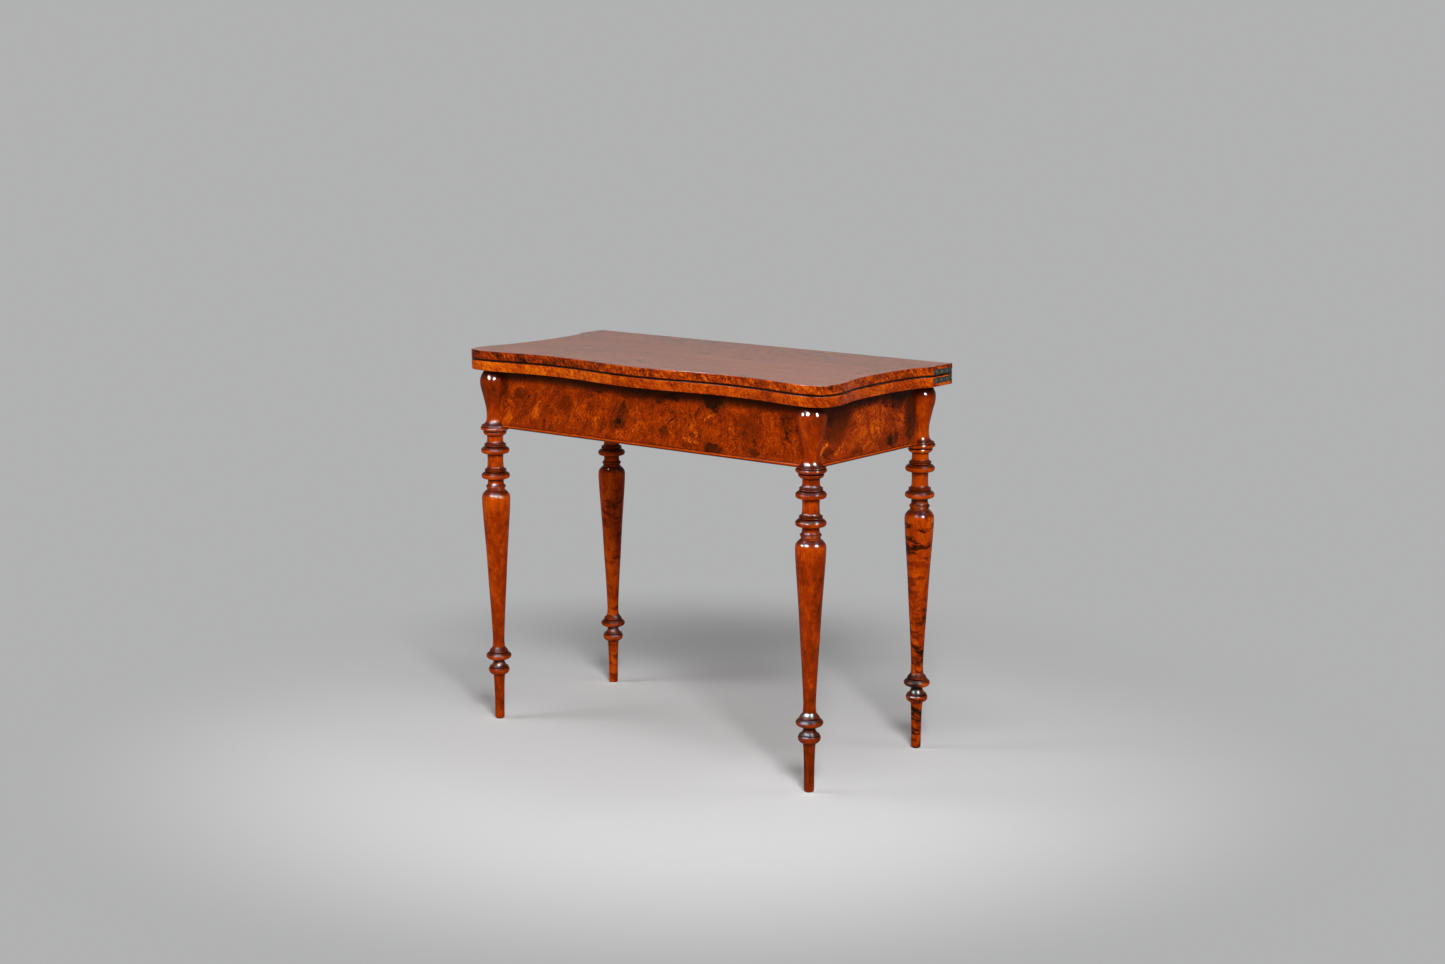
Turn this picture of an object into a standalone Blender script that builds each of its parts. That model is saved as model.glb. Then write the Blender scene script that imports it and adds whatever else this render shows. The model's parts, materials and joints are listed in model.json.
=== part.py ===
"""Games table: a fold-over card table with a swivel top, a storage well and four turned legs.

Metres, +Z up. The origin is on the floor under the middle of the folded top.
+X runs along the long side and the hinged edge is at the back, +Y.
"""

import math

import bmesh
import bpy
from mathutils import Matrix, Vector

# Overall sizes
TABLE_HEIGHT = 0.760
TOP_WIDTH = 0.884
TOP_DEPTH = 0.417
LEAF_THICKNESS = 0.0195
FRIEZE_HEIGHT = 0.1166

# Fits
SEAT_GAP = 0.0003
LEAF_GAP = 0.0006
OVERRUN = 0.004

# Outline of the leaves: share of the half width, share of the depth behind the front
OUTLINE_SHARES = [
    (0.000, 0.000), (0.105, 0.005), (0.205, 0.017), (0.295, 0.031), (0.385, 0.043),
    (0.475, 0.047), (0.565, 0.045), (0.655, 0.035), (0.745, 0.019), (0.825, 0.005),
    (0.887, 0.000), (0.940, 0.006), (0.978, 0.028), (0.993, 0.068), (0.997, 0.118),
    (0.991, 0.168), (0.980, 0.216), (0.969, 0.264), (0.960, 0.317), (0.954, 0.384),
    (0.951, 0.468), (0.951, 0.552), (0.954, 0.628), (0.962, 0.707), (0.974, 0.779),
    (0.989, 0.812),
]
OUTLINE_STEPS = 2
HINGE_FLAT = 0.066
ARRIS = 0.0018
FOOT_ARRIS = 0.0009

# Places of the legs, from the edges of the folded top to the leg's axis
LEG_SIDE_INSET = 0.050
LEG_FRONT_INSET = 0.033
LEG_BACK_INSET = 0.0295

# Turned members of a leg, from the floor up; the shaft takes what height is left
FOOT_HEIGHT = 0.0885
FOOT_RADIUS = 0.0097
ANKLE_RADIUS = 0.0121
LOW_RING_HEIGHT = 0.0305
LOW_RING_RADIUS = 0.0213
ANKLE_GAP = 0.005
RING_HEIGHT = 0.028
ANKLE_RING_RADIUS = 0.0256
BULGE_RADIUS = 0.0286
SHOULDER_HEIGHT = 0.0235
SMALL_RING_HEIGHT = 0.0195
SMALL_RING_RADIUS = 0.0203
SPINDLE_RADIUS = 0.0163
RING_RADIUS = 0.0286
SPINDLE_HEIGHT = 0.0235
COLLAR_HEIGHT = 0.035
COLLAR_RADIUS = 0.0288
VASE_RADIUS = 0.0281
VASE_NECK_RADIUS = 0.0160
LEG_SEGMENTS = 16

# Shapes of the members: share of the height, share of the way from neck to full radius
LOW_RING_SHARES = [(0.22, 0.13), (0.40, 0.78), (0.55, 1.0), (0.70, 0.90), (0.93, 0.12)]
RING_SHARES = [(0.15, 0.80), (0.31, 1.0), (0.48, 0.92), (0.66, 0.45), (0.87, 0.43), (0.93, 0.06)]
SHAFT_SHARES = [(0.0, 0.0), (0.22, 0.10), (0.44, 0.35), (0.66, 0.62), (0.86, 0.88), (1.0, 1.0)]
SHOULDER_SHARES = [(0.32, 0.97), (0.66, 0.75), (0.92, 0.30)]
SMALL_RING_SHARES = [(0.03, 0.70), (0.20, 1.0), (0.40, 0.80), (0.58, 0.05)]
COLLAR_SHARES = [
    (0.27, 0.12), (0.40, 0.62), (0.60, 0.66), (0.63, 0.52), (0.69, 0.90), (0.75, 1.0),
    (0.83, 0.90), (0.90, 0.48), (1.0, 0.12),
]
COLLAR_PEAK_SHARE = 0.75
VASE_SHARES = [
    (0.12, 0.0), (0.26, 0.08), (0.37, 0.26), (0.48, 0.46), (0.57, 0.69), (0.66, 0.88),
    (0.76, 1.0), (0.83, 0.95), (0.90, 0.72), (0.96, 0.42), (1.0, 0.20),
]

# Frame under the top
RAIL_THICKNESS = 0.020
FRONT_SETOUT = 0.002
SIDE_SETOUT = 0.006
RAIL_END_INSET = 0.012
BEAD_HEIGHT = 0.0068
BEAD_PROUD = 0.0022
BEAD_DEPTH = 0.010
BEAD_STEPS = 6
TENON_THICKNESS = 0.008
TENON_HEIGHT = 0.050
TENON_TOP_DROP = 0.012
TENON_STANDOFF = 0.010
TENON_CLEARANCE = 0.0025
TENON_ROOT = 0.024
BLOCK_LEG = 0.046
BLOCK_TOP_DROP = 0.030
LEDGE_SIZE = 0.010
LEDGE_CORNER_SPACE = 0.030
FLOOR_THICKNESS = 0.006
PARTITION_THICKNESS = 0.012

# Swivel pivot
PIVOT_RAIL_THICKNESS = 0.022
PIVOT_RAIL_HOUSING = 0.008
PIVOT_PLATE_LENGTH = 0.110
PIVOT_PLATE_WIDTH = 0.064
PIVOT_PLATE_THICKNESS = 0.004
PIVOT_PLATE_CORNER = 0.006
PLATE_CORNER_STEPS = 3
PIVOT_PIN_RADIUS = 0.008
PIVOT_WASHER_RADIUS = 0.019
PIVOT_WASHER_THICKNESS = 0.0025
PIVOT_NUT_RADIUS = 0.0155
PIVOT_NUT_THICKNESS = 0.010
NUT_SIDES = 6
PIVOT_PIN_TAIL = 0.004
PIVOT_SEGMENTS = 24
PLATE_SCREW_INSET = 0.012
STOP_PEG_RADIUS = 0.006
STOP_PEG_DROP = 0.018
STOP_PEG_TENON = 0.010
STOP_PEG_CLEARANCE = 0.0045
PEG_SEGMENTS = 10

# Card-table hinges, let into both ends of the leaves at the back
HINGE_PIVOT_DEPTH = 0.0045
HINGE_PLATE_LENGTH = 0.063
HINGE_PLATE_WIDTH = 0.0095
HINGE_PLATE_THICKNESS = 0.0026
HINGE_PLATE_STRIP = 0.003
HINGE_EAR_RADIUS = 0.004
LINK_THICKNESS = 0.0012
HINGE_PIN_RADIUS = 0.0014
HINGE_PIN_LENGTH = 0.012
HINGE_ARC_STEPS = 8
HINGE_SCREW_COUNT = 3
HINGE_SCREW_END_SPACE = 0.009

# Countersunk screws
SCREW_HEAD_RADIUS = 0.0032
SCREW_HEAD_HEIGHT = 0.0018
SCREW_SHANK_RADIUS = 0.0015
SCREW_LENGTH = 0.0125
SCREW_SINK = 0.0001
SCREW_SEGMENTS = 10

# Baize let into the playing faces
BAIZE_SIDE_MARGIN = 0.062
BAIZE_FRONT_MARGIN = 0.064
BAIZE_THICKNESS = 0.0010
BAIZE_RECESS = 0.0015
BAIZE_CORNER = 0.030
BAIZE_CORNER_STEPS = 4

# Worked out from the sizes above
half_width = TOP_WIDTH / 2
front_edge = -TOP_DEPTH / 2
back_edge = TOP_DEPTH / 2
upper_face = TABLE_HEIGHT - LEAF_THICKNESS
lower_face = upper_face - LEAF_GAP
leaf_underside = lower_face - LEAF_THICKNESS
frame_top = leaf_underside - SEAT_GAP
frieze_bottom = frame_top - FRIEZE_HEIGHT
rail_bottom = frieze_bottom + BEAD_HEIGHT + SEAT_GAP
leg_x = half_width - LEG_SIDE_INSET
leg_front_y = front_edge + LEG_FRONT_INSET
leg_back_y = back_edge - LEG_BACK_INSET
front_face = leg_front_y - FRONT_SETOUT
back_face = leg_back_y + FRONT_SETOUT
side_face = leg_x + SIDE_SETOUT
front_inner = front_face + RAIL_THICKNESS
back_inner = back_face - RAIL_THICKNESS
side_inner = side_face - RAIL_THICKNESS
ledge_top = rail_bottom + LEDGE_SIZE
floor_bottom = ledge_top + SEAT_GAP
floor_top = floor_bottom + FLOOR_THICKNESS
pivot_x = TOP_DEPTH / 4
pivot_y = TOP_DEPTH / 4
stop_offset = back_inner - pivot_y - STOP_PEG_RADIUS - SEAT_GAP
pivot_rail_half = stop_offset - STOP_PEG_RADIUS - STOP_PEG_CLEARANCE
hinge_y = back_edge - HINGE_PIVOT_DEPTH
lower_hinge_z = lower_face - HINGE_PIVOT_DEPTH
upper_hinge_z = upper_face + HINGE_PIVOT_DEPTH


def clear_scene():
    for old in list(bpy.data.objects):
        bpy.data.objects.remove(old, do_unlink=True)


def make_material(name, colour, roughness, metallic=0.0):
    material = bpy.data.materials.new(name)
    material.use_nodes = True
    shader = material.node_tree.nodes["Principled BSDF"]
    shader.inputs["Base Color"].default_value = (*colour, 1.0)
    shader.inputs["Roughness"].default_value = roughness
    shader.inputs["Metallic"].default_value = metallic
    return material


def place(axis, across, along):
    """A point of an outline that is extruded along axis x, y or z."""
    first, second = across
    if axis == "x":
        return Vector((along, first, second))
    if axis == "y":
        return Vector((first, along, second))
    return Vector((first, second, along))


def add_prism(mesh, outline, axis, start, end):
    """One closed prism: an outline across the axis, extruded from start to end."""
    low = [mesh.verts.new(place(axis, point, start)) for point in outline]
    high = [mesh.verts.new(place(axis, point, end)) for point in outline]
    add_loops(mesh, [low, high])


def add_loops(mesh, loops):
    """Bridges rings of vertices of the same length and caps both ends."""
    faces = [mesh.faces.new(loops[0]), mesh.faces.new(loops[-1])]
    for first, second in zip(loops, loops[1:]):
        count = len(first)
        for i in range(count):
            j = (i + 1) % count
            faces.append(mesh.faces.new((first[i], first[j], second[j], second[i])))
    bmesh.ops.recalc_face_normals(mesh, faces=faces)


def add_box(mesh, low, high):
    outline = [(low[0], low[1]), (high[0], low[1]), (high[0], high[1]), (low[0], high[1])]
    add_prism(mesh, outline, "z", low[2], high[2])


def add_turned(mesh, profile, matrix, segments):
    """A solid turned round the matrix's Z axis; the profile is (radius, height) pairs."""
    loops = []
    for radius, height in profile:
        ring = []
        for i in range(segments):
            angle = 2 * math.pi * (i + 0.5) / segments
            point = Vector((radius * math.cos(angle), radius * math.sin(angle), height))
            ring.append(mesh.verts.new(matrix @ point))
        loops.append(ring)
    add_loops(mesh, loops)


def add_rod(mesh, radius, start, end, segments):
    """A plain round bar between two points."""
    start = Vector(start)
    line = Vector(end) - start
    matrix = Matrix.Translation(start) @ line.to_track_quat("Z", "Y").to_matrix().to_4x4()
    add_turned(mesh, [(radius, 0.0), (radius, line.length)], matrix, segments)


def make_object(name, mesh, material=None, smooth=False):
    data = bpy.data.meshes.new(name)
    mesh.to_mesh(data)
    mesh.free()
    if smooth:
        data.shade_smooth()
        data.set_sharp_from_angle(angle=math.radians(35))
    made = bpy.data.objects.new(name, data)
    bpy.context.scene.collection.objects.link(made)
    if material is None:
        made.hide_render = True
        made.display_type = "WIRE"
    else:
        data.materials.append(material)
    return made


def combine(target, other, operation):
    modifier = target.modifiers.new(other.name, "BOOLEAN")
    modifier.operation = operation
    modifier.solver = "EXACT"
    modifier.object = other


def cut(target, cutter):
    combine(target, cutter, "DIFFERENCE")


def add_to(target, addition):
    combine(target, addition, "UNION")


def box(name, low, high, material=None):
    mesh = bmesh.new()
    add_box(mesh, low, high)
    return make_object(name, mesh, material)


def arc(centre, radius, start, end, steps):
    """Points on a circle between two angles in degrees."""
    points = []
    for i in range(steps + 1):
        angle = math.radians(start + (end - start) * i / steps)
        points.append((centre[0] + radius * math.cos(angle), centre[1] + radius * math.sin(angle)))
    return points


def smooth_line(points, steps):
    """A Catmull-Rom curve through the points."""
    line = []
    for i in range(len(points) - 1):
        p1 = Vector(points[i])
        p2 = Vector(points[i + 1])
        p0 = Vector(points[i - 1]) if i > 0 else p1
        p3 = Vector(points[i + 2]) if i + 2 < len(points) else p2
        for step in range(steps):
            t = step / steps
            bend = 2 * p1 + (p2 - p0) * t
            bend += (2 * p0 - 5 * p1 + 4 * p2 - p3) * t**2
            bend += (3 * p1 - p0 - 3 * p2 + p3) * t**3
            line.append(tuple(bend / 2))
    line.append(tuple(points[-1]))
    return line


def leaf_outline():
    """Serpentine front, hollow sides and a straight back, counter-clockwise from above."""
    flat_start = back_edge - HINGE_FLAT
    half = [(across * half_width, front_edge + back * TOP_DEPTH) for across, back in OUTLINE_SHARES]
    half.append((half_width, flat_start))
    mirrored = [(-x, y) for x, y in reversed(half[1:])]
    line = smooth_line(mirrored + half, OUTLINE_STEPS)
    return line + [(half_width, back_edge), (-half_width, back_edge)]


def inset(outline, distance):
    """The outline moved inwards by a distance, corner by corner."""
    moved = []
    count = len(outline)
    for i in range(count):
        here = Vector(outline[i])
        before = (here - Vector(outline[i - 1])).normalized()
        after = (Vector(outline[(i + 1) % count]) - here).normalized()
        normal = Vector((-before.y, before.x)) + Vector((-after.y, after.x))
        normal.normalize()
        reach = distance / max(normal.dot(Vector((-after.y, after.x))), 0.5)
        moved.append(tuple(here + normal * reach))
    return moved


def leaf(name, bottom, material):
    """A leaf with its top and bottom arrises eased."""
    outer = leaf_outline()
    inner = inset(outer, ARRIS)
    rows = [
        (inner, bottom),
        (outer, bottom + ARRIS),
        (outer, bottom + LEAF_THICKNESS - ARRIS),
        (inner, bottom + LEAF_THICKNESS),
    ]
    mesh = bmesh.new()
    loops = []
    for outline, height in rows:
        loops.append([mesh.verts.new((x, y, height)) for x, y in outline])
    add_loops(mesh, loops)
    return make_object(name, mesh, material)


def member(base, height, low, high, shares):
    """One turned member: its shape in shares, between a low and a high radius."""
    return [(low + (high - low) * out, base + height * up) for up, out in shares]


def leg_profile(extra):
    """Radius and height of the whole turning; extra widens it for the cutter of a fit."""
    points = [(FOOT_RADIUS - FOOT_ARRIS, 0.0), (FOOT_RADIUS, FOOT_ARRIS)]
    z = FOOT_HEIGHT
    points.append((ANKLE_RADIUS, z))
    points += member(z, LOW_RING_HEIGHT, ANKLE_RADIUS, LOW_RING_RADIUS, LOW_RING_SHARES)
    z += LOW_RING_HEIGHT
    points.append((ANKLE_RADIUS, z))
    z += ANKLE_GAP
    points.append((ANKLE_RADIUS, z))
    points += member(z, RING_HEIGHT, ANKLE_RADIUS, ANKLE_RING_RADIUS, RING_SHARES)
    z += RING_HEIGHT
    top = frame_top - vase_height() - COLLAR_HEIGHT
    bulge = top - 2 * RING_HEIGHT - SPINDLE_HEIGHT - SMALL_RING_HEIGHT - SHOULDER_HEIGHT
    points += member(z, bulge - z, ANKLE_RADIUS, BULGE_RADIUS, SHAFT_SHARES)
    z = bulge
    points += member(z, SHOULDER_HEIGHT, SPINDLE_RADIUS, BULGE_RADIUS, SHOULDER_SHARES)
    z += SHOULDER_HEIGHT
    points += member(z, SMALL_RING_HEIGHT, SPINDLE_RADIUS, SMALL_RING_RADIUS, SMALL_RING_SHARES)
    z += SMALL_RING_HEIGHT
    points.append((SPINDLE_RADIUS, z))
    points += member(z, RING_HEIGHT, SPINDLE_RADIUS, RING_RADIUS, RING_SHARES)
    z += RING_HEIGHT
    points.append((SPINDLE_RADIUS, z))
    z += SPINDLE_HEIGHT
    points.append((SPINDLE_RADIUS, z))
    points += member(z, RING_HEIGHT, SPINDLE_RADIUS, RING_RADIUS, RING_SHARES)
    z += RING_HEIGHT
    points.append((SPINDLE_RADIUS, z))
    points += member(z, COLLAR_HEIGHT, SPINDLE_RADIUS, COLLAR_RADIUS, COLLAR_SHARES)
    z += COLLAR_HEIGHT
    points += member(z, vase_height(), VASE_NECK_RADIUS, VASE_RADIUS, VASE_SHARES)
    return [(radius + extra, height) for radius, height in points]


def vase_height():
    """The collar's ring stands level with the lower edge of the frieze."""
    return FRIEZE_HEIGHT - COLLAR_HEIGHT * (1 - COLLAR_PEAK_SHARE)


def leg_places():
    return [
        ("front_left", -leg_x, leg_front_y),
        ("front_right", leg_x, leg_front_y),
        ("back_left", -leg_x, leg_back_y),
        ("back_right", leg_x, leg_back_y),
    ]


def make_leg_cutter(places):
    """The four turnings, widened by the fit, that scribe the rails and blocks to the legs."""
    mesh = bmesh.new()
    profile = leg_profile(SEAT_GAP)
    profile.append((profile[-1][0], frame_top + OVERRUN))
    for _, x, y in places:
        add_turned(mesh, profile, Matrix.Translation((x, y, 0.0)), LEG_SEGMENTS)
    return make_object("leg_fit", mesh)


def tenon_boxes(extra):
    """Low and high corners of the two stub tenons of each rail; extra widens them to mortises."""
    half = TENON_THICKNESS / 2
    low_z = frame_top - TENON_TOP_DROP - TENON_HEIGHT - extra
    high_z = frame_top - TENON_TOP_DROP + extra
    front_line = front_face + RAIL_THICKNESS / 2
    back_line = back_face - RAIL_THICKNESS / 2
    side_line = side_face - RAIL_THICKNESS / 2
    tip_x = leg_x - TENON_STANDOFF + extra
    tip_front = front_line + half + TENON_CLEARANCE - extra
    tip_back = back_line - half - TENON_CLEARANCE + extra
    root = TENON_ROOT + extra
    reach = half + extra
    boxes = {"front_rail": [], "back_rail": [], "left_rail": [], "right_rail": []}
    for side, side_rail in ((-1, "left_rail"), (1, "right_rail")):
        xs = sorted((side * tip_x, side * (tip_x - root)))
        for rail, line in (("front_rail", front_line), ("back_rail", back_line)):
            boxes[rail].append(((xs[0], line - reach, low_z), (xs[1], line + reach, high_z)))
        x = side * side_line
        for low_y, high_y in ((tip_front, tip_front + root), (tip_back - root, tip_back)):
            boxes[side_rail].append(((x - reach, low_y, low_z), (x + reach, high_y, high_z)))
    return boxes


def make_mortise_cutter():
    mesh = bmesh.new()
    for rail_boxes in tenon_boxes(SEAT_GAP).values():
        for low, high in rail_boxes:
            add_box(mesh, low, high)
    return make_object("mortises", mesh)


def make_legs(places, mortises, material):
    for name, x, y in places:
        mesh = bmesh.new()
        add_turned(mesh, leg_profile(0.0), Matrix.Translation((x, y, 0.0)), LEG_SEGMENTS)
        cut(make_object("leg_" + name, mesh, material, smooth=True), mortises)


def make_rails(leg_cutter, material):
    """Four rails, scribed to the turned legs, each with a stub tenon at both ends."""
    end_x = side_inner - SEAT_GAP
    side_low = leg_front_y + RAIL_END_INSET
    side_high = leg_back_y - RAIL_END_INSET
    spans = {
        "front_rail": ((-end_x, front_face), (end_x, front_inner)),
        "back_rail": ((-end_x, back_inner), (end_x, back_face)),
        "left_rail": ((-side_face, side_low), (-side_inner, side_high)),
        "right_rail": ((side_inner, side_low), (side_face, side_high)),
    }
    boxes = tenon_boxes(0.0)
    rails = {}
    for name, (low, high) in spans.items():
        rail = box(name, (*low, rail_bottom), (*high, frame_top), material)
        rails[name] = rail
        cut(rail, leg_cutter)
        mesh = bmesh.new()
        for tenon_low, tenon_high in boxes[name]:
            add_box(mesh, tenon_low, tenon_high)
        add_to(rail, make_object(name + "_tenons", mesh))
    housing = make_pivot_rail_blank("pivot_housing", SEAT_GAP, None)
    cut(rails["front_rail"], housing)
    cut(rails["back_rail"], housing)


def bead_outline(face, outward):
    """Section of the bead: flat against the rail, with a rounded nose under its face."""
    nose = BEAD_HEIGHT / 2
    centre = (face + outward * (BEAD_PROUD - nose), frieze_bottom + nose)
    round_part = [(centre[0] + outward * (y - centre[0]), z) for y, z in arc(centre, nose, -90, 90, BEAD_STEPS)]
    inner = face - outward * (BEAD_DEPTH - BEAD_PROUD)
    return round_part + [(inner, frieze_bottom + BEAD_HEIGHT), (inner, frieze_bottom)]


def make_beads(leg_cutter, material):
    end_x = side_inner - SEAT_GAP
    mesh = bmesh.new()
    add_prism(mesh, bead_outline(front_face, -1), "x", -end_x, end_x)
    beads = [make_object("front_bead", mesh, material, smooth=True)]
    for name, side in (("left_bead", -1), ("right_bead", 1)):
        mesh = bmesh.new()
        low = leg_front_y + RAIL_END_INSET
        high = leg_back_y - RAIL_END_INSET
        add_prism(mesh, bead_outline(side * side_face, side), "y", low, high)
        beads.append(make_object(name, mesh, material, smooth=True))
    for bead in beads:
        cut(bead, leg_cutter)


def make_corner_blocks(leg_cutter, material):
    for side, side_name in ((-1, "left"), (1, "right")):
        for inner, inward, end_name in ((front_inner, 1, "front"), (back_inner, -1, "back")):
            x = side * (side_inner - SEAT_GAP)
            y = inner + inward * SEAT_GAP
            outline = [(x, y), (x - side * BLOCK_LEG, y), (x, y + inward * BLOCK_LEG)]
            mesh = bmesh.new()
            add_prism(mesh, outline, "z", floor_top + SEAT_GAP, frame_top - BLOCK_TOP_DROP)
            cut(make_object("corner_block_" + end_name + "_" + side_name, mesh, material), leg_cutter)


def make_well(material):
    """Floor of the storage well on its two ledges, and the partition that closes the well."""
    ledge_end = side_inner - LEDGE_CORNER_SPACE
    part_right = pivot_x - pivot_rail_half - SEAT_GAP
    part_left = part_right - PARTITION_THICKNESS
    low_y = front_inner + SEAT_GAP
    high_y = back_inner - SEAT_GAP
    low_x = -side_inner + SEAT_GAP
    box(
        "floor_ledge_front",
        (-ledge_end, low_y, rail_bottom),
        (part_right, low_y + LEDGE_SIZE, ledge_top),
        material,
    )
    box(
        "floor_ledge_back",
        (-ledge_end, high_y - LEDGE_SIZE, rail_bottom),
        (part_right, high_y, ledge_top),
        material,
    )
    box("well_floor", (low_x, low_y, floor_bottom), (part_right, high_y, floor_top), material)
    box(
        "well_partition",
        (part_left, low_y, floor_top + SEAT_GAP),
        (part_right, high_y, frame_top),
        material,
    )


def make_pivot_rail_blank(name, extra, material):
    """The cross rail, or with extra its housing in the front and back rails."""
    reach = PIVOT_RAIL_HOUSING + extra
    half = pivot_rail_half + extra
    top = frame_top if material else frame_top + OVERRUN
    low = (pivot_x - half, front_inner - reach, frame_top - PIVOT_RAIL_THICKNESS - extra)
    high = (pivot_x + half, back_inner + reach, top)
    return box(name, low, high, material)


def pivot_levels():
    """Heights of the washer and the nut under the cross rail."""
    washer_top = frame_top - PIVOT_RAIL_THICKNESS - SEAT_GAP
    washer_bottom = washer_top - PIVOT_WASHER_THICKNESS
    nut_top = washer_bottom - SEAT_GAP
    nut_bottom = nut_top - PIVOT_NUT_THICKNESS
    return washer_top, washer_bottom, nut_top, nut_bottom


def rounded_rectangle(low, high, radius, steps):
    corners = [
        ((high[0] - radius, high[1] - radius), 0),
        ((low[0] + radius, high[1] - radius), 90),
        ((low[0] + radius, low[1] + radius), 180),
        ((high[0] - radius, low[1] + radius), 270),
    ]
    points = []
    for centre, start in corners:
        points += arc(centre, radius, start, start + 90, steps)
    return points


def pivot_plate_outline(extra):
    reach_x = PIVOT_PLATE_LENGTH / 2 + extra
    reach_y = PIVOT_PLATE_WIDTH / 2 + extra
    low = (pivot_x - reach_x, pivot_y - reach_y)
    high = (pivot_x + reach_x, pivot_y + reach_y)
    return rounded_rectangle(low, high, PIVOT_PLATE_CORNER, PLATE_CORNER_STEPS)


def screw_profile(extra, stand):
    """A countersunk screw from its tip at the far end to its flush head at height 0."""
    tip = -SCREW_LENGTH - extra
    profile = [
        (SCREW_SHANK_RADIUS / 2 + extra, tip),
        (SCREW_SHANK_RADIUS + extra, tip + SCREW_SHANK_RADIUS),
        (SCREW_SHANK_RADIUS + extra, -SCREW_HEAD_HEIGHT - extra),
        (SCREW_HEAD_RADIUS + extra, -extra),
    ]
    if stand > 0:
        profile.append((SCREW_HEAD_RADIUS + extra, stand))
    return profile


def add_screws(mesh, places, extra, stand):
    """Places are (head point, outward direction) pairs."""
    for point, outward in places:
        turn = Vector(outward).to_track_quat("Z", "Y").to_matrix().to_4x4()
        matrix = Matrix.Translation(point) @ turn
        profile = screw_profile(extra, stand)
        add_turned(mesh, profile, matrix, SCREW_SEGMENTS)


def make_screws(name, places, material):
    """The screws, and the cutter that clears them; heads stand just under the face."""
    sunk = [(Vector(point) - Vector(outward) * SCREW_SINK, outward) for point, outward in places]
    for number, place_of_one in enumerate(sunk, 1):
        mesh = bmesh.new()
        add_screws(mesh, [place_of_one], 0.0, 0.0)
        make_object(name + "_" + str(number), mesh, material, smooth=True)
    mesh = bmesh.new()
    add_screws(mesh, sunk, SEAT_GAP, OVERRUN)
    return make_object(name + "_holes", mesh)


def plate_screw_places():
    reach_x = PIVOT_PLATE_LENGTH / 2 - PLATE_SCREW_INSET
    reach_y = PIVOT_PLATE_WIDTH / 2 - PLATE_SCREW_INSET
    places = []
    for side in (-1, 1):
        for end in (-1, 1):
            point = (pivot_x + side * reach_x, pivot_y + end * reach_y, leaf_underside)
            places.append((point, (0.0, 0.0, -1.0)))
    return places


def make_pivot(lower_leaf, iron, wood):
    washer_top, washer_bottom, nut_top, nut_bottom = pivot_levels()
    plate_top = leaf_underside + PIVOT_PLATE_THICKNESS
    pin_bottom = nut_bottom - PIVOT_PIN_TAIL
    rail = make_pivot_rail_blank("pivot_rail", 0.0, wood)
    mesh = bmesh.new()
    add_prism(mesh, pivot_plate_outline(0.0), "z", leaf_underside, plate_top)
    plate = make_object("pivot_plate", mesh, iron)
    mesh = bmesh.new()
    pocket_top = plate_top + SEAT_GAP
    add_prism(mesh, pivot_plate_outline(SEAT_GAP), "z", leaf_underside - OVERRUN, pocket_top)
    cut(lower_leaf, make_object("pivot_plate_pocket", mesh))
    mesh = bmesh.new()
    low = (pivot_x, pivot_y, pin_bottom)
    high = (pivot_x, pivot_y, plate_top)
    add_rod(mesh, PIVOT_PIN_RADIUS, low, high, PIVOT_SEGMENTS)
    make_object("pivot_pin", mesh, iron, smooth=True)
    mesh = bmesh.new()
    low = (pivot_x, pivot_y, pin_bottom - OVERRUN)
    high = (pivot_x, pivot_y, pocket_top)
    add_rod(mesh, PIVOT_PIN_RADIUS + SEAT_GAP, low, high, PIVOT_SEGMENTS)
    pin_hole = make_object("pivot_pin_hole", mesh)
    mesh = bmesh.new()
    low = (pivot_x, pivot_y, washer_bottom)
    high = (pivot_x, pivot_y, washer_top)
    add_rod(mesh, PIVOT_WASHER_RADIUS, low, high, PIVOT_SEGMENTS)
    washer = make_object("pivot_washer", mesh, iron, smooth=True)
    mesh = bmesh.new()
    low = (pivot_x, pivot_y, nut_bottom)
    high = (pivot_x, pivot_y, nut_top)
    add_rod(mesh, PIVOT_NUT_RADIUS, low, high, NUT_SIDES)
    nut = make_object("pivot_nut", mesh, iron)
    for piece in (rail, plate, washer, nut):
        cut(piece, pin_hole)
    screw_holes = make_screws("pivot_plate_screw", plate_screw_places(), iron)
    cut(plate, screw_holes)
    cut(lower_leaf, screw_holes)


def make_stop_peg(lower_leaf, material):
    """It meets the front rail at rest and the back rail when the top has turned a quarter."""
    x = pivot_x + stop_offset
    y = front_inner + STOP_PEG_RADIUS + SEAT_GAP
    low = (x, y, leaf_underside - STOP_PEG_DROP)
    high = (x, y, leaf_underside + STOP_PEG_TENON)
    mesh = bmesh.new()
    add_rod(mesh, STOP_PEG_RADIUS, low, high, PEG_SEGMENTS)
    make_object("stop_peg", mesh, material, smooth=True)
    mesh = bmesh.new()
    low = (x, y, leaf_underside - OVERRUN)
    high = (x, y, leaf_underside + STOP_PEG_TENON + SEAT_GAP)
    add_rod(mesh, STOP_PEG_RADIUS + SEAT_GAP, low, high, PEG_SEGMENTS)
    cut(lower_leaf, make_object("stop_peg_hole", mesh))


def hinge_point(face, into, y, depth):
    """A point on a leaf's end: depth is measured from the playing face into the leaf."""
    return (y, face + into * depth)


def fold_corner_outline(face, into):
    """The sliver between the square corner of the fold and its round."""
    c = HINGE_PIVOT_DEPTH
    points = []
    for y, depth in arc((hinge_y, c), c, -90, 0, HINGE_ARC_STEPS):
        points.append(hinge_point(face, into, y, depth))
    points.append(hinge_point(face, into, back_edge + OVERRUN, c))
    points.append(hinge_point(face, into, back_edge + OVERRUN, -OVERRUN))
    points.append(hinge_point(face, into, hinge_y, -OVERRUN))
    return points


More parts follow.
